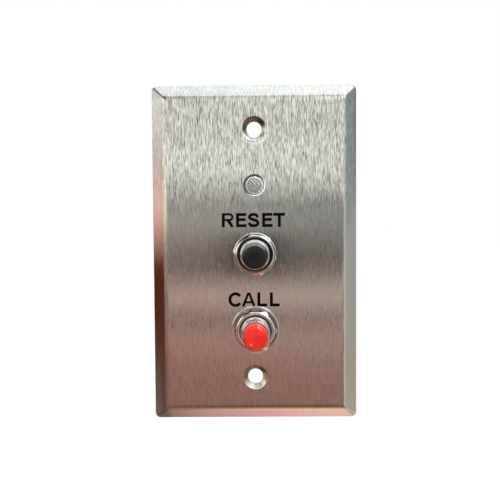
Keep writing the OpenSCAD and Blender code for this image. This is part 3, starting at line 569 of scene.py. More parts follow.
def moulding(name, colour, light, gloss=0.5, rough=0.1, marked=None):
    """Moulded plastic: nearly even colour, with faint flow patches and handling marks in its gloss. A further
    step, marked, takes the paint and its colour and gives the colour with painted highlights on it."""
    paint = Paint(name, Specular_IOR_Level=gloss)
    marks = paint.noise(0.8 * mm, detail=4, roughness=0.7)
    tint = paint.noise(3 * mm, detail=1, shift=5)
    base = paint.mix(paint.ramp(tint, 0.35, 0.65), colour, light)
    return paint.vary(
        Base_Color=marked(paint, base) if marked else base,
        Roughness=marks * 0.22 + rough,
        Normal=paint.bump(marks, 0.01 * mm))


tinned = metal("tinned_wire", (0.74, 0.74, 0.72), (0.60, 0.60, 0.58), 0.32, 0.3 * mm)
spring_steel = metal("spring_steel", (0.52, 0.52, 0.51), (0.40, 0.38, 0.36), 0.34,
                     0.12 * mm, 1 * mm, 0.5 * mm)
nylon = moulding("natural_nylon", (0.80, 0.78, 0.70), (0.86, 0.85, 0.79), rough=0.36)
epoxy = Paint("clear_epoxy", Transmission_Weight=0.6, IOR=1.5)
milk = epoxy.noise(1.5 * mm, detail=2)
epoxy.vary(Base_Color=epoxy.mix(milk, (0.80, 0.86, 0.82), (0.94, 0.96, 0.93)), Roughness=milk * 0.2 + 0.05)
dress(spring_steel, "lens_retainer")
dress(epoxy, "led")
dress(tinned, "led_leads")
dress(nylon, "led_spacer")

# Switches.
# Two alike push switches. A chromed brass bushing with a smooth collar comes through the plate, and a plain
# washer and a hex nut clamp it. The moulded button slides in it. Its spring and contacts sit in the shell.
bore_r = 4.05 * mm
bushing_r = 5.0 * mm
collar_h = 5.2 * mm
collar_edge_w = 0.35 * mm
thread_pitch = 0.75 * mm
thread_depth = 0.25 * mm
flange_r = 6.9 * mm
flange_y = -3.8 * mm
shell_y = -2.4 * mm
shell_inner_r = 6.4 * mm
base_neck_r = 5.85 * mm
washer_t = 0.8 * mm
nut_t = 2.2 * mm
nut_half_af = 6.35 * mm
nut_face_r = 5.85 * mm
nut_bore_r = 5.05 * mm
nut_turn = {"reset": -11.4, "call": 0.0}
washer_r = {"reset": 7.1 * mm, "call": 8.0 * mm}
bushing_front_y, bushing_rear_y = (p.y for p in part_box("call_bushing"))


def chromed(name, z=0.0, rings=(), shade=0.0):
    """Chrome plating, bright with a little haze. Round the line at height z, each ring between two radii in
    mm is painted darker by the shade, a painted reflection, and so in part is a patch low on the right, a
    painted shade."""
    paint = Paint(name, Metallic=1.0)
    haze = paint.noise(1.5 * mm, detail=4, roughness=0.65)
    light = haze * 0.16 + 0.92
    if rings:
        # A patch low on the right is painted darker: painted shade.
        tone_patch = paint.ramp(paint.axis("X"), 4.2 * mm, 5.6 * mm)
        painted_dark = tone_patch * paint.ramp(paint.axis("Z") - z, 2.4 * mm, 0.4 * mm) * 0.35
        # Each ring is painted darker: painted reflection.
        for low, high in rings:
            off_middle = abs(paint.from_line(0.0, z) - (low + high) / 2 * mm)
            painted_dark = painted_dark + paint.ramp(off_middle, (high - low) * 0.65 * mm, (high - low) * 0.35 * mm)
        light = light * (1.0 - painted_dark * shade)
    return paint.vary(Base_Color=paint.shade((0.88, 0.88, 0.86), light), Roughness=haze * 0.10 + 0.03)


def bushing_profile():
    """The bushing as (radius, y): a front edge, tight inside and round outside, a collar that bulges back to
    the thread, the thread's rings, the flange, and the shell behind it with its crimped rear edge."""
    edge_r = collar_edge_w / 2
    inner_r = 0.04 * mm
    crimp_y = bushing_rear_y - 0.5 * mm
    length = collar_h - edge_r
    drop = bushing_r - bore_r - collar_edge_w
    bulge = (length ** 2 + drop ** 2) / (2 * drop)
    thread_y = bushing_front_y + collar_h
    turns = int((flange_y - thread_y) / thread_pitch)
    thread = [(bushing_r - step * thread_depth, thread_y + (i - step / 2) * thread_pitch)
              for i in range(1, turns + 1) for step in (1, 0)]
    body = filleted([
        (bushing_r, flange_y), (flange_r, flange_y, 0.35 * mm), (flange_r, bushing_rear_y, 0.45 * mm),
        (base_neck_r, bushing_rear_y, 0.2 * mm), (base_neck_r, crimp_y), (shell_inner_r, crimp_y),
        (shell_inner_r, shell_y), (bore_r, shell_y)], loop=False)
    collar_deg = math.degrees(math.asin(length / bulge))
    return np.concatenate([
        arc(bore_r + inner_r, bushing_front_y + inner_r, inner_r, -180, -90, 5),
        arc(bore_r + edge_r, bushing_front_y + edge_r, edge_r, -85, -5, 10),
        arc(bushing_r - bulge, thread_y, bulge, -collar_deg, 0, 24), thread, body])


def nut_surface(z, turn_deg):
    """A hex nut: at each angle a row of points runs from the bore over the flat front face, then falls away
    to the hexagon ever more steeply, by a power of the distance, rounds its edge and runs along its side.
    Near a corner the hexagon is an arc of the corner's radius."""
    corner_r = 0.3 * mm
    edge_r = 0.13 * mm
    fall = 0.56 * mm
    chamfer_power = 1.35
    side_angle = math.radians(30)
    a = np.radians(np.arange(0, 360, 1.0))
    from_corner = np.radians((np.degrees(a) - turn_deg + 30) % 60 - 30)
    flat = nut_half_af / np.cos(side_angle - np.abs(from_corner))
    corner_at = (nut_half_af - corner_r) / math.cos(side_angle)
    rise = np.sqrt(np.maximum(corner_r ** 2 - (corner_at * np.sin(from_corner)) ** 2, 0))
    tangent = side_angle - math.atan((nut_half_af - corner_r) * math.tan(side_angle) / nut_half_af)
    hexagon = np.where(np.abs(from_corner) < tangent, corner_at * np.cos(from_corner) + rise, flat)
    rear_y = face_y - washer_t
    front_y = rear_y - nut_t
    rows = [(nut_bore_r, rear_y), (nut_bore_r, front_y + 0.2 * mm), (nut_bore_r + 0.1 * mm, front_y),
            (nut_bore_r + 0.14 * mm, front_y), (nut_face_r - 0.04 * mm, front_y)]
    for share in (0.0, 0.08, 0.2, 0.4, 0.6, 0.8, 1.0):
        out = (hexagon - edge_r - nut_face_r) * share
        rows.append((nut_face_r + out, front_y + fall * (np.maximum(out, 0) / mm) ** chamfer_power))
    rim_y = rows[-1][1]
    for turned_by in np.radians((35, 60, 90)):
        inset = edge_r * (1 - math.sin(turned_by))
        rows.append((hexagon - inset, rim_y + edge_r * (1 - math.cos(turned_by))))
    rows += [(hexagon, rear_y - 0.06 * mm), (hexagon - 0.06 * mm, rear_y)]
    r, y = (np.array([row[i] + 0 * a for row in rows]) for i in (0, 1))
    return grid(np.stack([r * np.cos(a), y, z + r * np.sin(a)], -1), wrap_u=True, wrap_v=True)


def button_profile(tip_y, rear_y):
    """The button and its stem as (radius, y): a crown of large radius, a rounded edge, the straight side, the
    flange that stops it, the stem, its neck and the clip's groove."""
    r = 3.95 * mm
    edge_r = 1.0 * mm
    crown_r = 45 * mm
    crown_deg = math.degrees(math.asin((r - edge_r) / (crown_r - edge_r)))
    edge_y = tip_y + crown_r - (crown_r - edge_r) * math.cos(math.radians(crown_deg))
    disc_y = 5.35 * mm
    clip_y = 5.85 * mm
    stop_y = -2.35 * mm
    stop_rear_y = stop_y + 1 * mm
    stop_r = 4.9 * mm
    stem_r = 1.5 * mm
    neck_r = 0.9 * mm
    groove_r = 0.63 * mm
    groove_rear_y = clip_y + 0.4 * mm
    return np.concatenate([
        arc(0, tip_y + crown_r, crown_r, -90, crown_deg - 90, 16),
        arc(r - edge_r, edge_y, edge_r, crown_deg - 90, 0, 16),
        [(r, edge_y + 0.05 * mm), (r, stop_y), (stop_r, stop_y), (stop_r, stop_rear_y), (stem_r, stop_rear_y),
         (stem_r, disc_y), (neck_r, disc_y), (neck_r, clip_y), (groove_r, clip_y), (groove_r, groove_rear_y),
         (neck_r, groove_rear_y), (neck_r, rear_y), (0, rear_y)]])


def painted_edge_highlight(paint, base):
    """A painted highlight on the upper part of the black button's rounded edge."""
    z = switch_z["reset"]
    on_edge = paint.ramp(paint.from_line(0.0, z), 3.3 * mm, 3.6 * mm)
    edge_highlight = on_edge * paint.ramp(paint.axis("Z") - z, 1.5 * mm, 3.1 * mm)
    return paint.mix(edge_highlight * 0.8, base, (0.24, 0.235, 0.215))


def painted_glints(paint, base):
    """Three painted highlights on the red button, one on its face and two on its edge, each fading out from a
    place given in mm from the button's middle."""
    for x, above, reach, share in ((-1.35, -1.9, 0.42, 0.45), (1.0, 3.4, 0.55, 0.3), (1.5, 2.9, 0.5, 0.3)):
        away = paint.from_line(x * mm, switch_z["call"] + above * mm)
        base = paint.mix(paint.ramp(away, reach * mm, reach * 0.4 * mm) * share, base, (1.0, 0.62, 0.48))
    return base


chrome = chromed("chrome_plating")
black = moulding("black_button", (0.0075, 0.010, 0.0105), (0.009, 0.013, 0.011), 0.42, marked=painted_edge_highlight)
red = moulding("red_button", (0.86, 0.012, 0.007), (1.0, 0.034, 0.020), marked=painted_glints)
button_paint = {"reset": black, "call": red}
# Rings in mm of the nuts' chrome that mirror something darker: beside the collar, at the face's rim and near
# the corners.
nut_rings = ((4.98, 5.4), (5.86, 6.04), (6.45, 6.66))
for name, z in switch_z.items():
    low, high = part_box(name + "_button")
    piece(name + "_push_button", mesh([revolve(button_profile(low.y, high.y), z=z)]), button_paint[name],
          body=name + "_plunger", replaces=name + "_button")
    piece(name + "_collar", mesh([revolve(bushing_profile(), z=z, turns=128)], sharp_deg=40), chrome,
          replaces=name + "_bushing")
    piece(name + "_hex_nut", mesh([nut_surface(z, nut_turn[name])], sharp_deg=50),
          chromed(name + "_nut_chrome", z, nut_rings, shade=0.82),
          replaces=name + "_nut")
    rim_r = washer_r[name]
    # The washer is painted darker from the collar out to near its rim: painted shade beside the nut.
    washer_rings = ((bushing_r / mm, rim_r / mm - 0.55),)
    washer = filleted([
        (bushing_hole_r, face_y, 0.1 * mm), (bushing_hole_r, face_y - washer_t, 0.15 * mm),
        (rim_r, face_y - washer_t, 0.3 * mm), (rim_r, face_y, 0.1 * mm)])
    piece(name + "_plain_washer", mesh([revolve(washer, z=z)]),
          chromed(name + "_washer_chrome", z, washer_rings, shade=0.62),
          replaces=name + "_washer")

# Inside a switch.
# A brown phenolic body and base hold two brass contacts. A brass disc on the plunger's stem, held by an open
# clip, joins them when the button is pressed, and a coil spring lifts it again. A toothed washer bites the
# plate.
spring_front_y = -1.3 * mm
spring_mean_r = 3.5 * mm
wire_r = 0.225 * mm
closed_pitch = 0.55 * mm
open_pitch = 0.925 * mm
coil_turns = 6


def coil(z):
    """A spring's wire: a circle of the wire's radius carried along a helix. Its first and last turn are
    closed, with little more pitch than the wire is thick, and each end is drawn in to a point."""
    t = np.linspace(0, coil_turns, coil_turns * 40 + 1)[:, None]
    rise = (closed_pitch * np.minimum(t, 1) + open_pitch * np.clip(t - 1, 0, coil_turns - 2)
            + closed_pitch * np.maximum(t - coil_turns + 1, 0))
    b = np.linspace(0, 2 * np.pi, 12, endpoint=False)[None]
    end = np.minimum(t, coil_turns - t) * 2 * np.pi * spring_mean_r
    thick = wire_r * np.sqrt(np.clip(1 - (1 - np.minimum(end / wire_r, 1)) ** 2, 0, 1))
    r = spring_mean_r + thick * np.cos(b)
    y = spring_front_y + wire_r + rise + thick * np.sin(b)
    a = 2 * np.pi * t
    return grid(np.stack([r * np.cos(a), y, z + r * np.sin(a)], -1), wrap_v=True)


phenolic = moulding("brown_phenolic", (0.13, 0.045, 0.022), (0.20, 0.075, 0.036), rough=0.26)
contact_brass = metal("contact_brass", (0.84, 0.62, 0.27), (0.62, 0.42, 0.18), 0.26,
                      0.6 * mm, 0.2 * mm, 0.2 * mm)
for name, z in switch_z.items():
    dress(spring_steel, name + "_lock_washer", name + "_clip")
    dress(phenolic, name + "_housing", name + "_base")
    dress(contact_brass, name + "_contacts", name + "_disc")
    spring = piece(name + "_coil_spring", mesh([coil(z)]), spring_steel,
                   replaces=name + "_spring")
    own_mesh(spring)

# Board carriers.
# Two plated studs, welded to the rear of the plate, take hexagonal brass standoffs, and two crossed pan head
# screws hold the circuit board on them.
plated = metal("zinc_plate", (0.72, 0.73, 0.73), (0.66, 0.62, 0.48), 0.28, 0.3 * mm)
turned_brass = metal("machined_brass", (0.82, 0.63, 0.30), (0.68, 0.48, 0.20), 0.24,
                     2 * mm, 0.08 * mm, 2 * mm)
dress(plated, "weld_studs", "board_screws")
dress(turned_brass, "standoffs")

# Circuit board.
# Glass laminate with green solder mask over its copper, tinned pads, and white printed frames where the parts
# stand. It joins the switches, the relay, the lamp and the terminals.
board_low, board_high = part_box("circuit_board")
board_front_y = board_low.y
board_rear_y = board_high.y
board_z = (board_low.z + board_high.z) / 2
contact_x = 3.2 * mm
pin_places = [(s * contact_x, z) for z in switch_z.values() for s in (-1, 1)]
four_steps = (-1.5, -0.5, 0.5, 1.5)
block_z = -12.7 * mm
pole_pitch = 5.08 * mm
pole_pin_z = -9.8 * mm
pole_places = [(step * pole_pitch, pole_pin_z) for step in four_steps]
lamp_lead_x = 1.27 * mm
lamp_places = [(s * lamp_lead_x, lamp_z) for s in (-1, 1)]
relay_z = 11.5 * mm
relay_pin_pitch = 3.2 * mm
relay_row = 2.54 * mm
relay_places = [(step * relay_pin_pitch, relay_z + s * relay_row) for s in (-1, 1) for step in four_steps]
part_x = 13.07 * mm
resistor_step = 7 * mm
resistor_z = [board_z + resistor_step, board_z - resistor_step]
lead_reach = 5.08 * mm
lead_places = [(part_x, z + s * lead_reach) for z in resistor_z for s in (-1, 1)]
lead_places += [(-part_x, relay_z + s * lead_reach) for s in (-1, 1)]
copper_t = 0.03 * mm
pad_t = 0.045 * mm
track_w = 0.7 * mm
# The tracks' bends in mm, from hole to hole.
tracks = [
    [(1.27, 22.8), (1.27, 20.6), (3.4, 18.5), (10.6, 18.5), (13.07, 16), (13.07, 10.58)],
    [(-1.27, 22.8), (-1.27, 20.6), (-3.4, 18.5), (-9.2, 18.5), (-11.1, 16.58), (-13.07, 16.58)],
    [(-13.07, 6.42), (-13.07, 3), (-10.07, 0), (-3.2, 0)],
    [(13.07, 0.42), (13.07, -3.42)],
    [(3.2, 0), (3.2, 4.5), (4.8, 6.1), (4.8, 8.96)],
    [(13.07, -13.58), (13.07, -21), (8.67, -25.4), (3.2, -25.4)],
    [(-3.2, -25.4), (-9, -25.4), (-13, -21.4), (-13, -7.5), (-10.7, -5.2), (-8.4, -5.2), (-7.62, -6),
     (-7.62, -9.8)],
    [(-2.54, -9.8), (-2.54, -5), (-1.6, -4.06), (-1.6, 8.96)],
    [(2.54, -9.8), (2.54, -6), (1.6, -5.06), (1.6, 8.96)],
    [(7.62, -9.8), (7.62, 4), (8.6, 5), (8.6, 12.8), (7.36, 14.04), (4.8, 14.04)]]


def frame_line(x, z, half_w, half_h):
    """A printed frame: a rectangle with round corners and the same one inset by the line's width."""
    corner_r = 0.5 * mm
    line_w = 0.18 * mm
    return [outline(half_w - inset, half_h - inset, corner_r - inset, 4) + [x, z] for inset in (0, line_w)]


def pads(places, hole_r, reach):
    """Flat rings round holes, on both faces of the board."""
    return [revolve([(hole_r, y), (hole_r, y + out), (hole_r + reach, y + out), (hole_r + reach, y)],
                    z=z, x=x, turns=24)
            for x, z in places for y, out in ((board_front_y, -pad_t), (board_rear_y, pad_t))]


mask = Paint("solder_mask", Coat_Weight=0.4, Coat_Roughness=0.15)
weave_pitch = 0.5 * mm
board_edge_w = 0.06 * mm
board_half_h = board_high.z - board_z
weft, warp = (mask.math("SINE", mask.axis(axis) * (2 * math.pi / weave_pitch)) for axis in "XZ")
weave = weft * warp
cloud = mask.noise(5 * mm, detail=3)
bare = mask.math("MAXIMUM", *(
    mask.ramp(abs(off_middle), half - board_edge_w, half - board_edge_w / 2)
    for off_middle, half in ((mask.axis("X"), board_high.x), (mask.axis("Z") - board_z, board_half_h))))
green = mask.shade((0.010, 0.105, 0.042), weave * 0.05 + cloud * 0.5 + 0.75)
mask.vary(
    Base_Color=mask.mix(bare, green, mask.shade((0.50, 0.48, 0.28), cloud * 0.4 + 0.8)),
    Roughness=cloud * 0.16 + bare * 0.3 + 0.24,
    Normal=mask.bump(weave, 0.004 * mm))
dress(mask, "circuit_board")
over_copper = Paint("mask_over_copper", Coat_Weight=0.4, Coat_Roughness=0.15)
tone_patch = over_copper.noise(3 * mm, detail=3)
over_copper.vary(
    Base_Color=over_copper.shade((0.030, 0.205, 0.062), tone_patch * 0.5 + 0.75),
    Roughness=tone_patch * 0.2 + 0.2)
track_figures = [[ribbon(np.array(path) * mm, track_w)] for path in tracks]
piece("board_tracks", inlay(track_figures, board_rear_y + copper_t, board_rear_y), over_copper)
solder = metal("bright_solder", (0.76, 0.76, 0.75), (0.62, 0.62, 0.61), 0.26, 0.4 * mm)
pad_surfaces = pads(pin_places + pole_places, hole_r=0.55 * mm, reach=0.62 * mm)
pad_surfaces += pads(lamp_places + relay_places + lead_places, hole_r=0.325 * mm, reach=0.55 * mm)
piece("board_pads", mesh(pad_surfaces), solder)
dress(solder, "solder_joints")
legend_white = printed("legend_white", (0.82, 0.83, 0.80), 0.3 * mm, Roughness=0.6)
frames = [
    frame_line(0, relay_z, half_w=7.6 * mm, half_h=5.1 * mm),
    frame_line(0, block_z, half_w=11.3 * mm, half_h=4.8 * mm),
    *(frame_line(part_x, z, half_w=1.6 * mm, half_h=3.6 * mm) for z in resistor_z),
    frame_line(-part_x, relay_z, half_w=1.5 * mm, half_h=2.6 * mm)]
piece("board_legend", inlay(frames, board_rear_y + pad_t, board_rear_y), legend_white)

# Terminal block.
# A green moulded block for the building's four wires. Each pole has a slotted clamp screw, a rising clamp and
# a brass strip that turns down into a pin through the board.
terminal_green = moulding("green_moulding", (0.022, 0.25, 0.085), (0.034, 0.31, 0.11), rough=0.22)
dress(terminal_green, "terminal_block")
dress(contact_brass, "terminal_pins")
dress(plated, *(f"terminal_{kind}_{i}" for kind in ("screw", "clamp") for i in range(1, 5)))

# Relay and small parts.
# A small latching relay in a satin ivory case on four feet, two lacquered resistors with colour bands and a
# black diode with its grey band, all soldered through the board by tinned leads.
relay_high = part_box("relay")[1]
relay_half_h = relay_high.z - relay_z
relay_edge_r = 0.8 * mm
foot_y = board_rear_y + 0.4 * mm
foot_top_y = foot_y + 0.02 * mm
case_rim_w = 1.2 * mm
resistor_half_l = 3.15 * mm
resistor_r = 1.15 * mm
waist_r = 0.98 * mm
axial_y = 13.95 * mm
diode_half_l = 2.1 * mm
diode_r = 1.0 * mm

ivory = moulding("ivory_case", (0.68, 0.64, 0.51), (0.74, 0.70, 0.57), rough=0.34)
case_profile = filleted([(case_rim_w, foot_y), (0.0, foot_y, 0.15 * mm), (0.0, relay_high.y, 0.35 * mm),
                         (case_rim_w, relay_high.y)], loop=False)
relay_surfaces = [carried(case_profile, relay_high.x, relay_half_h,
                          lambda inset: max(relay_edge_r - inset, 0.2 * mm), z=relay_z)]
foot_profile = filleted([(0, board_rear_y), (relay_edge_r, board_rear_y, 0.1 * mm),
                         (relay_edge_r, foot_top_y), (0, foot_top_y)])
for x in (relay_edge_r - relay_high.x, relay_high.x - relay_edge_r):
    for z in (relay_z - relay_half_h + relay_edge_r, relay_z + relay_half_h - relay_edge_r):
        relay_surfaces.append(revolve(foot_profile, x=x, z=z, turns=24))
piece("relay_case", mesh(relay_surfaces, fill_at=(foot_y, relay_high.y)), ivory,
      replaces="relay")
dress(tinned, "relay_pins", "component_leads")


def lying(profile, x, z):
    """A profile of (radius, distance along Z) turned round the upright line at x, axial_y: x + r cos a,
    axial_y + r sin a, z + distance."""
    points, faces = revolve(profile, turns=40)
    return points[:, [0, 2, 1]] + np.array([x, axial_y, z]), faces


def rounded_body(half_l, r, middle_r, steps=48):
    """An axial part's body as (radius, distance): its radius eases from the middle's to the ends' and rounds
    off to the lead as an ellipse does."""
    t = np.linspace(-half_l, half_l, steps + 1)
    share = np.clip((np.abs(t) - half_l * 0.3) / (half_l * 0.35), 0, 1)
    swell = middle_r + (r - middle_r) * share * share * (3 - 2 * share)
    near_end = np.clip((np.abs(t) - half_l * 0.78) / (half_l * 0.22), 0, 1)
    reach = np.sqrt(1 - near_end ** 2 * 0.96) * swell
    return np.concatenate([[[0.0, -half_l]], np.stack([reach, t], -1), [[0.0, half_l]]])


lacquer = Paint("resistor_lacquer", Coat_Weight=0.5, Coat_Roughness=0.1)
from_middle = abs(lacquer.axis("Z") - board_z) - resistor_step
skin = lacquer.noise(0.6 * mm, detail=3)
coat = lacquer.shade((0.62, 0.44, 0.24), skin * 0.5 + 0.75)
# The colour bands: the place of each in mm from its body's middle, away from the board's, and its colour.
for band_at, colour in ((-2.35, (0.16, 0.02, 0.015)), (-1.15, (0.42, 0.02, 0.35)), (-0.3, (0.55, 0.06, 0.02)),
                        (2.3, (0.50, 0.36, 0.10))):
    coat = lacquer.mix(lacquer.ramp(abs(from_middle - band_at * mm), 0.27 * mm, 0.23 * mm), coat, colour)
lacquer.vary(Base_Color=coat, Roughness=skin * 0.2 + 0.25)
resistor_body = rounded_body(resistor_half_l, resistor_r, waist_r)
piece("resistor_bodies", mesh([lying(resistor_body, part_x, z) for z in resistor_z]), lacquer,
      replaces="resistors")
black_epoxy = Paint("diode_epoxy", Specular_IOR_Level=0.5)
specks = black_epoxy.noise(0.3 * mm, detail=3)
band = black_epoxy.ramp(abs(black_epoxy.axis("Z") - relay_z - 1.3 * mm), 0.32 * mm, 0.28 * mm)
dark = black_epoxy.shade((0.018, 0.018, 0.019), specks + 0.5)
black_epoxy.vary(Base_Color=black_epoxy.mix(band, dark, (0.55, 0.55, 0.54)), Roughness=specks * 0.3 + 0.25)
diode_surface = lying(rounded_body(diode_half_l, diode_r, diode_r), -part_x, relay_z)
piece("diode_body", mesh([diode_surface]), black_epoxy, replaces="diode")

# Camera.
# It stands where the photograph was taken from, 16 cm in front of the wall and a little above the middle of
# the plate.
picture_px = 500
focal_px = 472.6
centre_row_px = 233
camera_at = (-0.60 * mm, -162.9 * mm, 11.52 * mm)
yaw, pitch, roll = (math.radians(d) for d in (0.354, -1.653, 0.40))
turn = Matrix.Rotation(yaw, 4, "Z") @ Matrix.Rotation(pitch, 4, "X") @ Matrix.Rotation(roll, 4, "Y")
# A camera looks down its own -Z. This turns it upright, to look along Y.
level = Matrix.Rotation(math.radians(90), 4, "X")
camera = bpy.data.objects.new("camera", bpy.data.cameras.new("camera"))
bpy.context.scene.collection.objects.link(camera)
camera.matrix_world = Matrix.Translation(camera_at) @ turn @ level
camera.data.sensor_width = 36.0
camera.data.lens = focal_px / picture_px * camera.data.sensor_width
camera.data.shift_y = (centre_row_px - picture_px / 2) / picture_px
camera.data.clip_start = 0.005
bpy.context.scene.camera = camera

# Stage.
# The plate hangs above a white floor in white surroundings. Cards that only reflections see stand where the
# room of the photograph was. Each has a few broad tones, given as the steel shows them.
floor_z = -1.0
floor_half = 15.0
floor_glow = 0.55
ambient = 0.55


def sheet_at(name, corners, material):
    """A flat sheet through four corners."""
    data = bpy.data.meshes.new(name)
    data.from_pydata(corners, [], [(0, 1, 2, 3)])
    data.materials.append(material)
    made = bpy.data.objects.new(name, data)
    bpy.context.scene.collection.objects.link(made)
    return made


def facing(half_w, y, z, end_y, end_z, end_half_w=None):
    """The corners of a sheet across X, from one edge at y, z to the other, which may have another width."""
    end_half_w = end_half_w or half_w
    return [(-half_w, y, z), (half_w, y, z), (end_half_w, end_y, end_z), (-end_half_w, end_y, end_z)]


def beside(x, near_y, far_y, low_z, high_z, high_x=None):
    """The corners of a sheet at one side, from its near edge to its far one. It may lean to another x."""
    high_x = high_x or x
    return [(x, near_y, low_z), (x, far_y, low_z), (high_x, far_y, high_z), (high_x, near_y, high_z)]


def seen_plainly(nodes):
    """1 for rays from the camera, from gloss or through glass, else 0."""
    camera_ray, glossy, through_glass = (
        nodes.node("LightPath", output=f"Is {kind} Ray") for kind in ("Camera", "Glossy", "Transmission"))
    return nodes.math("MAXIMUM", nodes.math("MAXIMUM", camera_ray, glossy), through_glass)


world = bpy.data.worlds.new("surroundings")
bpy.context.scene.world = world
world.use_nodes = True
sky = Nodes(world.node_tree)
sky_light = sky.node("MapRange", values={0: seen_plainly(sky), "To Min": ambient})
sky.feed(sky.tree.nodes["Background"], {"Color": (1, 1, 1, 1), "Strength": sky_light})

white = Paint("floor_white", Roughness=0.9, Specular_IOR_Level=0.0, Emission_Color=(1, 1, 1, 1))
white.vary(
    Base_Color=white.shade((0.9, 0.9, 0.9), white.noise(0.5) * 0.02 + 0.99),
    Emission_Strength=seen_plainly(white) * floor_glow)
sheet_at("floor", facing(floor_half, -floor_half, floor_z, floor_half, floor_z), white.material)


def glow_of(*seen):
    """The light that makes the steel show a tone from 0 to 255, or a plain multiple of white. A tone's linear
    value is ((tone / 255 + 0.055) / 1.055) to the power 2.4."""
    if len(seen) == 1:
        return seen * 3
    return tuple(((tone / 255 + 0.055) / 1.055) ** 2.4 / own for tone, own in zip(seen, steel_colour))


def card(name, corners, *ramps, across=None):
    """A card that gives off light to reflections alone. Each ramp is an axis and its stops: a place in metres
    and the tone, or the multiple of white, that the steel shows there. Two ramps blend across X."""
    paint = Paint(name)
    colours = []
    for axis, stops in ramps:
        low, high = stops[0][0], stops[-1][0]
        places = [((place - low) / (high - low), glow_of(*seen)) for place, *seen in stops]
        share = paint.ramp(paint.axis(axis), low, high)
        colours.append(paint.node("ValToRGB", {"stops": places}, {0: share}))
    colour = paint.mix(paint.ramp(paint.axis("X"), *across), *colours) if across else colours[0]
    light = paint.node("Emission", values={"Color": colour})
    paint.feed(paint.tree.nodes["Material Output"], {"Surface": light})
    made = sheet_at(name, corners, paint.material)
    for rays in ("camera", "diffuse", "shadow", "transmission", "volume_scatter"):
        setattr(made, "visible_" + rays, False)


# The room in front, which the flat face mirrors: a few bands of light and dark, each a height in metres and
# how light the steel looks there. The room is warm below and pale above.
room_y = -1.2
room_low = -0.62
room_high = 0.46
room_half_w = 1.6
room_bands = [
    (-0.62, 130), (-0.40, 140), (-0.35, 160), (-0.31, 155), (-0.28, 100), (-0.21, 190), (-0.14, 100),
    (-0.10, 100), (0.0, 140), (0.03, 140), (0.065, 110), (0.10, 180), (0.13, 200), (0.20, 208), (0.27, 188),
    (0.46, 210)]
middle_low = -0.12
middle_high = 0.07
warm = np.array([1.0, 0.72, 0.63])
pale = np.array([1.0, 1.0, 0.955])


def room_side(middle_light, warm_z, pale_z):
    """One side's stops: the bands' light, times a factor at middle heights, warm up to one height and evenly
    paler up to another."""
    stops = []
    for z, light in room_bands:
        share = np.clip((z - warm_z) / (pale_z - warm_z), 0, 1)
        factor = middle_light if middle_low < z < middle_high else 1.0
        stops.append((z, *(light * factor * (warm * (1 - share) + pale * share))))
    return stops


card("card_front", facing(room_half_w, room_y, room_low, room_y, room_high),
     ("Z", room_side(1.08, -0.42, 0.08)), ("Z", room_side(0.92, -0.52, 0.0)), across=(-0.15, 0.18))
# The two sides, level with the wall, which the side slopes mirror.
side_x = 0.45
side_near_y = -0.17
side_far_y = 0.3
card("card_left", beside(-side_x, side_near_y, side_far_y, -0.35, 0.18),
     ("Z", [(-0.35, 120, 110, 105), (-0.19, 90, 70, 60), (-0.13, 75, 35, 25), (-0.045, 80, 25, 10),
            (0.0, 185, 140, 125), (0.03, 220, 175, 160), (0.09, 190, 175, 170), (0.18, 215, 215, 205)]))
card("card_right", beside(side_x, side_near_y, side_far_y, -0.5, 0.4),
     ("Z", [(-0.5, 190, 180, 170), (-0.19, 155, 145, 130), (-0.02, 150, 150, 145), (0.06, 130, 140, 135),
            (0.4, 120, 135, 130)]))
# Below the plate, from the wall forward: the bottom slope mirrors the first, the bend above it the other two.
below_y = -0.12
card("card_below", facing(room_half_w, below_y, room_low, 0.5, room_low),
     ("X", [(-0.5, 90, 80, 70), (-0.15, 115, 100, 90), (-0.1, 175, 135, 125), (0.06, 220, 160, 160),
            (0.13, 220, 180, 160), (0.5, 170, 150, 135)]))
near_z = room_low + 0.01
card("card_below_near", facing(room_half_w, below_y, near_z, 0.09, near_z),
     ("X", [(-0.5, 85, 75, 65), (-0.14, 100, 90, 80), (-0.07, 190, 150, 130), (0.06, 240, 195, 170),
            (0.125, 235, 195, 170), (0.5, 170, 150, 135)]))
card("card_below_front", facing(room_half_w, room_y, room_low, below_y, room_low),
     ("Y", [(-1.2, 125, 90, 75), (-0.6, 110, 80, 65), (-0.28, 120, 90, 75), (-0.12, 140, 110, 95)]),
     ("Y", [(-1.2, 125, 90, 75), (-0.7, 105, 70, 50), (-0.45, 120, 90, 60), (-0.12, 190, 150, 120)]),
     across=(-0.16, 0.0))
# A grey patch high on the left, for the upper left of the turned pieces.
card("card_left_high", beside(-0.55, -0.4, 0.3, 0.42, 0.60, high_x=-0.42),
     ("Z", [(0.42, 110, 110, 110), (0.60, 120, 120, 120)]))
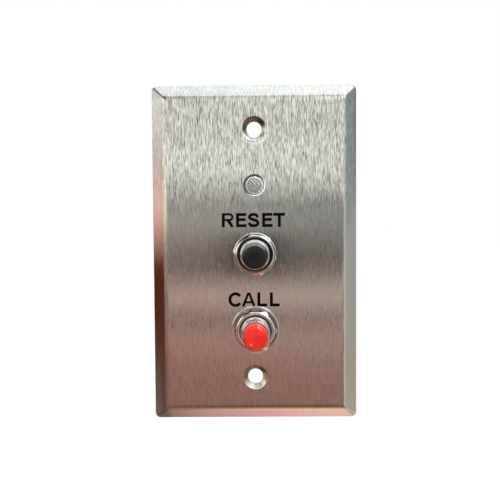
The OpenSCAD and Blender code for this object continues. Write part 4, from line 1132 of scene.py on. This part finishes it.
# Above the plate. The top slope mirrors the first card. The nuts' and the dimples' upper sides mirror the
# second, dark on the left and bright on the right. The third covers its middle for the top bend.
card("card_above", facing(0.9, -0.32, 0.9, 0.5, 0.9),
     ("X", [(-0.9, 225, 230, 225), (-0.05, 235, 240, 235), (0.1, 245, 250, 245), (0.9, 245, 250, 245)]))
card("card_high", facing(0.9, -1.2, 0.46, -0.32, 0.85),
     ("Y", [(-1.2, 195, 195, 190), (-0.88, 170, 170, 155), (-0.74, 50, 50, 40), (-0.45, 25, 25, 20),
            (-0.32, 40, 40, 35)]),
     ("Y", [(-1.2, 0.9), (-0.85, 2.1), (-0.6, 2.4), (-0.45, 1.2), (-0.32, 0.6)]), across=(-0.02, 0.16))
card("card_high_middle", facing(0.36, -1.2, 0.45, -0.32, 0.84, end_half_w=0.2),
     ("Y", [(-1.2, 205, 205, 200), (-0.74, 195, 195, 190), (-0.45, 190, 190, 180), (-0.32, 200, 205, 195)]))
# The two sides further forward, which the side bends mirror.
card("card_left_front", beside(-side_x, -0.75, side_near_y, -0.5, 0.4),
     ("Z", [(-0.5, 120, 100, 90), (-0.12, 130, 105, 90), (-0.03, 150, 130, 115), (0.03, 225, 215, 180),
            (0.10, 215, 210, 190), (0.25, 215, 210, 195), (0.4, 90, 90, 80)]))
card("card_right_front", beside(side_x, -0.46, side_near_y, -0.5, 0.4),
     ("Y", [(-0.46, 175, 175, 165), (-0.3, 180, 180, 170), (-0.22, 170, 170, 160), (-0.17, 150, 150, 140)]))
# The dark camera itself, which the buttons' crowns mirror.
card("card_by_camera", facing(0.018, -0.17, -0.027, -0.17, 0.002),
     ("Z", [(-0.027, 25, 20, 15), (0.002, 20, 20, 20)]))

# A square soft lamp above faces the middle of the plate. The cards take its place in reflections.
lamp_data = bpy.data.lights.new("lamp_above", "AREA")
lamp_data.shape = "SQUARE"
lamp_data.size = 0.22
lamp_data.energy = 3.0
lamp = bpy.data.objects.new("lamp_above", lamp_data)
bpy.context.scene.collection.objects.link(lamp)
lamp_at = Vector((0.14, -0.34, 0.50))
lamp.matrix_world = Matrix.Translation(lamp_at) @ lamp_at.to_track_quat("Z", "Y").to_matrix().to_4x4()
lamp.visible_glossy = False

bpy.context.scene.view_settings.view_transform = "Standard"
